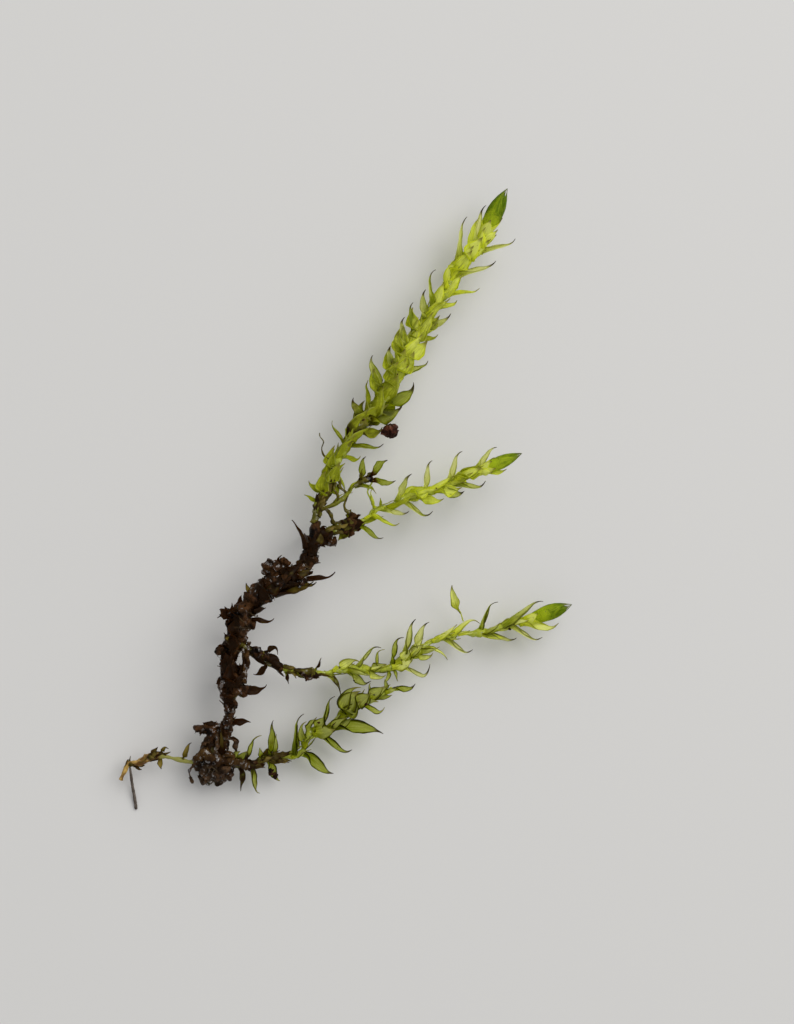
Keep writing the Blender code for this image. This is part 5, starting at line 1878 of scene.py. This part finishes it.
LOWER_GROWN = (
    (-2.60, -6.10, -2.20, -5.52, 0.75, 0.10, 0.09, 0.25), (-1.98, -5.98, -1.87, -5.50, 0.75, 0.12, 0.0),
    (-2.20, -6.05, -2.24, -5.78, 0.65, 0.12, 0.0), (-2.72, -6.12, -2.67, -6.70, 0.25, 0.14, 0.03),
    (-2.45, -6.15, -2.25, -6.75, 0.20, 0.14, -0.06, 0.35), (-2.10, -6.05, -1.80, -6.50, 0.25, 0.22, -0.04),
    (-1.48, -5.95, -1.40, -5.45, 0.80, 0.08, 0.0), (-1.25, -5.80, -1.20, -5.25, 0.85, 0.20, 0.08),
    (-0.50, -5.25, 0.03, -4.53, 0.90, 0.30, 0.13), (0.05, -4.90, 0.55, -4.98, 0.50, 0.12, -0.10),
    (0.17, -4.82, 0.24, -4.44, 0.85, 0.08, 0.0), (0.60, -4.64, 0.58, -4.36, 0.75, 0.12, 0.0),
    (-0.80, -5.44, -0.30, -5.18, 0.80, 0.22, 0.0), (-0.45, -5.22, -0.10, -4.92, 0.00, 0.20, 0.0),
    (-1.70, -5.98, -1.35, -5.95, 0.00, 0.18, 0.0), (-0.45, -5.22, 0.02, -4.84, 0.80, 0.36, 0.0),
    (-0.20, -4.98, 0.27, -4.66, 0.82, 0.36, 0.0), (0.08, -4.86, 0.56, -4.52, 0.80, 0.30, 0.0),
    (-1.08, -5.52, -0.74, -5.14, 0.80, 0.28, 0.0), (-0.44, -5.20, 0.02, -4.62, 0.86, 0.50, 0.08),
    (-2.90, -6.02, -2.76, -5.84, 0.90, 0.12, 0.0, 0.1), (-2.95, -6.00, -2.66, -5.84, 1.00, 0.20, 0.0, 0.15),
    (-2.80, -6.10, -2.50, -5.84, 0.95, 0.20, 0.0, 0.2),
)
RUNNER_GROWN = (
    (-4.58, -5.92, -4.42, -5.71, 0.60, 0.10, 0.0), (-4.36, -5.90, -4.20, -5.75, 0.58, 0.09, 0.05),
    (-4.44, -5.90, -4.35, -6.18, 0.40, 0.12, 0.0), (-4.95, -6.05, -4.78, -6.17, 0.35, 0.06, 0.0),
    (-3.92, -6.01, -3.70, -5.64, 0.65, 0.12, 0.03),
)
BRANCHLET_GROWN = (
    (0.02, -0.08, 0.47, -0.27, 1.10, 0.08, 0.04, 0.1), (0.10, -0.02, 0.18, 0.28, 1.30, 0.10, 0.0),
)

# Loose twigs, and the clump's strands and cords, in the form of stems
GREEN_TWIGS = (
    ((0.40, 0.02, 1.18, 0.030), (0.33, -0.18, 1.16, 0.022), (0.33, -0.33, 1.12, 0.020),
     (0.37, -0.48, 1.06, 0.025), (0.46, -0.58, 1.02, 0.030)),
)
DARK_TWIGS = (
    ((-0.42, 0.24, 1.06, 0.040), (-0.34, -0.06, 1.14, 0.035), (-0.27, -0.31, 1.16, 0.038),
     (-0.22, -0.56, 1.12, 0.034), (-0.12, -0.78, 1.04, 0.050)),
    ((-0.78, -0.50, 1.08, 0.045), (-0.60, -0.73, 1.12, 0.036), (-0.44, -0.98, 1.04, 0.050)),
    ((-0.50, 0.12, 1.08, 0.034), (-0.50, -0.20, 1.14, 0.030), (-0.36, -0.46, 1.12, 0.036)),
    ((-0.42, 0.30, 1.06, 0.030), (-0.58, 0.52, 1.12, 0.020), (-0.72, 0.80, 1.14, 0.018),
     (-0.78, 1.08, 1.12, 0.010)),
    ((0.22, 0.03, 1.20, 0.050), (0.32, 0.07, 1.24, 0.060), (0.37, 0.12, 1.24, 0.040),
     (0.47, 0.22, 1.24, 0.020)),
)
CLUMP_STRANDS = (
    ((-3.36, -5.45, 0.72, 0.05), (-3.40, -5.70, 0.66, 0.04), (-3.38, -5.98, 0.60, 0.06)),
    ((-3.10, -5.35, 0.84, 0.06), (-3.15, -5.60, 0.82, 0.05), (-3.16, -5.95, 0.76, 0.06)),
    ((-3.02, -5.55, 0.82, 0.05), (-2.84, -5.66, 0.80, 0.04), (-2.78, -5.80, 0.74, 0.035),
     (-2.82, -6.00, 0.66, 0.04)),
    ((-3.24, -5.40, 0.78, 0.05), (-3.28, -5.70, 0.74, 0.04), (-3.26, -5.98, 0.72, 0.06)),
    ((-3.66, -6.02, 0.52, 0.05), (-3.73, -6.22, 0.46, 0.04), (-3.74, -6.38, 0.42, 0.035),
     (-3.70, -6.50, 0.40, 0.02)),
)
CLUMP_CORDS = (
    ((-3.64, -5.98, 0.62, 0.08), (-3.46, -5.93, 0.74, 0.10), (-3.26, -5.98, 0.80, 0.10),
     (-3.05, -6.04, 0.80, 0.09)),
    ((-3.20, -6.08, 0.80, 0.08), (-2.95, -6.06, 0.78, 0.10), (-2.75, -6.08, 0.70, 0.10),
     (-2.50, -6.17, 0.58, 0.08)),
    ((-3.05, -5.96, 0.82, 0.05), (-2.86, -5.94, 0.82, 0.06), (-2.68, -6.04, 0.72, 0.06)),
)

# Dark knots: plan place, height and radius
UPPER_CLOTS = (
    (-0.08, -0.78, 1.10, 0.10), (-0.08, -0.98, 1.08, 0.13), (-0.16, -1.08, 1.04, 0.12),
    (-0.40, -1.10, 1.06, 0.09), (-0.50, -1.32, 1.04, 0.09),
)
MIDDLE_CLOTS = (
    (-2.28, -3.74, 1.00, 0.12), (-2.08, -3.82, 0.98, 0.10), (-1.78, -4.06, 0.88, 0.08),
    (-1.22, -4.21, 0.77, 0.09), (-1.08, -4.23, 0.74, 0.10),
)
LOWER_CLOTS = (
    (-2.50, -6.19, 0.52, 0.07), (-2.34, -6.10, 0.55, 0.06), (-2.00, -6.30, 0.42, 0.06),
    (-1.90, -6.42, 0.36, 0.06),
)
BRANCHLET_CLOTS = ((0.35, 0.09, 1.22, 0.07), (0.28, 0.05, 1.21, 0.05))

# Crumbs of soil: plan place and radius
CRUMBS = (
    (3.45, -3.30, 0.035), (-2.20, -5.82, 0.04), (-0.93, -5.27, 0.04), (0.00, -4.98, 0.03),
    (0.13, -4.90, 0.035), (-0.25, -5.57, 0.025), (-0.13, -4.38, 0.02), (-0.60, -5.33, 0.02),
    (0.32, -4.70, 0.02), (1.02, 2.42, 0.02), (0.22, 1.38, 0.025), (-0.52, 0.30, 0.02), (1.85, -0.14, 0.018),
    (0.95, -3.95, 0.02), (-0.45, -4.10, 0.02),
)


def leafy_shoots() -> list[LeafyShoot]:
    """Lists the green shoots.

    Returns:
        The main shoot, the upper, middle and lower branches, and the side branchlet.
    """
    return [
        LeafyShoot(
            "main_shoot", "main_leaf", MAIN_SHOOT, MAIN_LEAVES, MAIN_GROWN,
            ages=((0.0, 0.62), (0.04, 0.50), (0.065, 0.40), (0.10, 0.24), (0.16, 0.16), (0.21, 0.32),
                  (0.26, 0.60), (0.32, 0.50), (0.37, 0.36), (0.48, 0.20), (0.58, 0.0), (1.0, 0.0)),
            sheath=Sheath(0.045, 0.985, 0.14, 0.76, 0.08, 0.40), worn_until=0.07, worn_count=18,
            thin=0.70, tints=(0.15, 0.55), bulk=0.12, seed=3,
            deepen=((0.0, 0.6), (0.16, 0.75), (0.27, 1.4), (0.38, 0.55), (0.5, 0.12), (0.6, 0.38),
                    (0.70, 0.25), (0.78, -0.05), (0.88, -0.3), (1.0, -0.2)),
        ),
        LeafyShoot(
            "upper_branch", "upper_leaf", UPPER_BRANCH, UPPER_LEAVES, UPPER_GROWN,
            ages=((0.0, 0.5), (0.10, 0.4), (0.15, 0.9), (0.20, 0.9), (0.24, 0.2), (0.34, 0.05), (1.0, 0.0)),
            sheath=Sheath(0.22, 0.985, 0.19, 0.60, 0.08, 0.32), worn_until=0.19, worn_count=12,
            thin=0.7, tints=(-0.2, 0.8), clots=UPPER_CLOTS, seed=4,
            deepen=((0.0, 0.7), (0.30, 0.6), (0.45, 0.1), (1.0, 0.0)),
        ),
        LeafyShoot(
            "middle_branch", "middle_leaf", MIDDLE_BRANCH, MIDDLE_LEAVES, MIDDLE_GROWN,
            ages=((0.0, 0.8), (0.13, 0.9), (0.16, 0.3), (0.18, 0.3), (0.20, 1.0), (0.24, 0.9), (0.265, 0.3),
                  (0.36, 0.10), (1.0, 0.0)),
            sheath=Sheath(0.29, 0.975, 0.22, 0.44, 0.08, 0.26), worn_until=0.26, worn_count=26,
            thin=0.75, tints=(-0.2, 0.75), clots=MIDDLE_CLOTS, rimmed=True, seed=5,
        ),
        LeafyShoot(
            "lower_branch", "lower_leaf", LOWER_BRANCH, LOWER_LEAVES, LOWER_GROWN,
            ages=((0.0, 1.0), (0.08, 0.9), (0.13, 0.55), (0.20, 0.35), (0.25, 0.55), (0.30, 0.42),
                  (0.36, 0.18), (0.6, 0.14), (1.0, 0.05)),
            sheath=Sheath(0.27, 0.975, 0.15, 0.50, 0.10, 0.38), worn_until=0.26, worn_count=30,
            thin=0.75, tints=(0.4, 1.1), clots=LOWER_CLOTS, bulk=0.13, rimmed=True, seed=6,
            deepen=((0.0, 0.8), (1.0, 0.3)),
        ),
        LeafyShoot(
            "side_branchlet", "branchlet_leaf", SIDE_BRANCHLET, BRANCHLET_LEAVES, BRANCHLET_GROWN,
            ages=((0.0, 0.6), (0.3, 0.45), (0.6, 0.4), (0.80, 0.6), (0.92, 1.0), (1.0, 1.0)),
            sheath=Sheath(0.1, 0.8, 0.16, 0.26, 0.05, 0.16), lead=0.1, tints=(0.6, 1.0),
            clots=BRANCHLET_CLOTS, seed=7, deepen=((0.0, 0.5), (1.0, 0.2)),
        ),
    ]


def main() -> None:
    """Builds the shoot piece by piece."""
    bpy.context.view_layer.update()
    main_shoot, *branches = leafy_shoots()
    parts = [
        main_shoot,
        OldStem(OLD_STEM, OLD_STUBS, OLD_LUMPS, OLD_STRANDS, OLD_GROWN),
        *branches,
        Runner(RUNNER, RUNNER_GROWN),
        Rootlet(ROOTLET),
        Clump((-3.23, -6.19, 0.42), (0.42, 0.31, 0.38), CLUMP_STRANDS, CLUMP_CORDS),
        Grain((0.80, 1.12, 0.86), 0.17),
        Bud("main_bud", (3.16, 5.75, 0.74), (3.72, 6.77, 0.86), 0.20, 2),
        Bud("upper_bud", (2.93, 0.27, 0.95), (3.87, 0.66, 1.02), 0.15, 5, tint=0.35),
        Bud("middle_bud", (3.99, -3.07, 0.55), (4.93, -2.77, 0.62), 0.18, 8, tint=0.5,
            collar_ends=(0.05, 0.26)),
        SpindleLeaf((2.38, -3.12, 0.68), (2.15, -2.31, 0.78)),
        Twigs(GREEN_TWIGS, DARK_TWIGS),
        Crumbs(CRUMBS),
    ]
    for part in parts:
        log.info("building %s", getattr(part, "name", type(part).__name__))
        part.build()
    Studio().build()


if __name__ == "__main__":
    logging.basicConfig(level=logging.INFO, format="%(message)s")
    main()
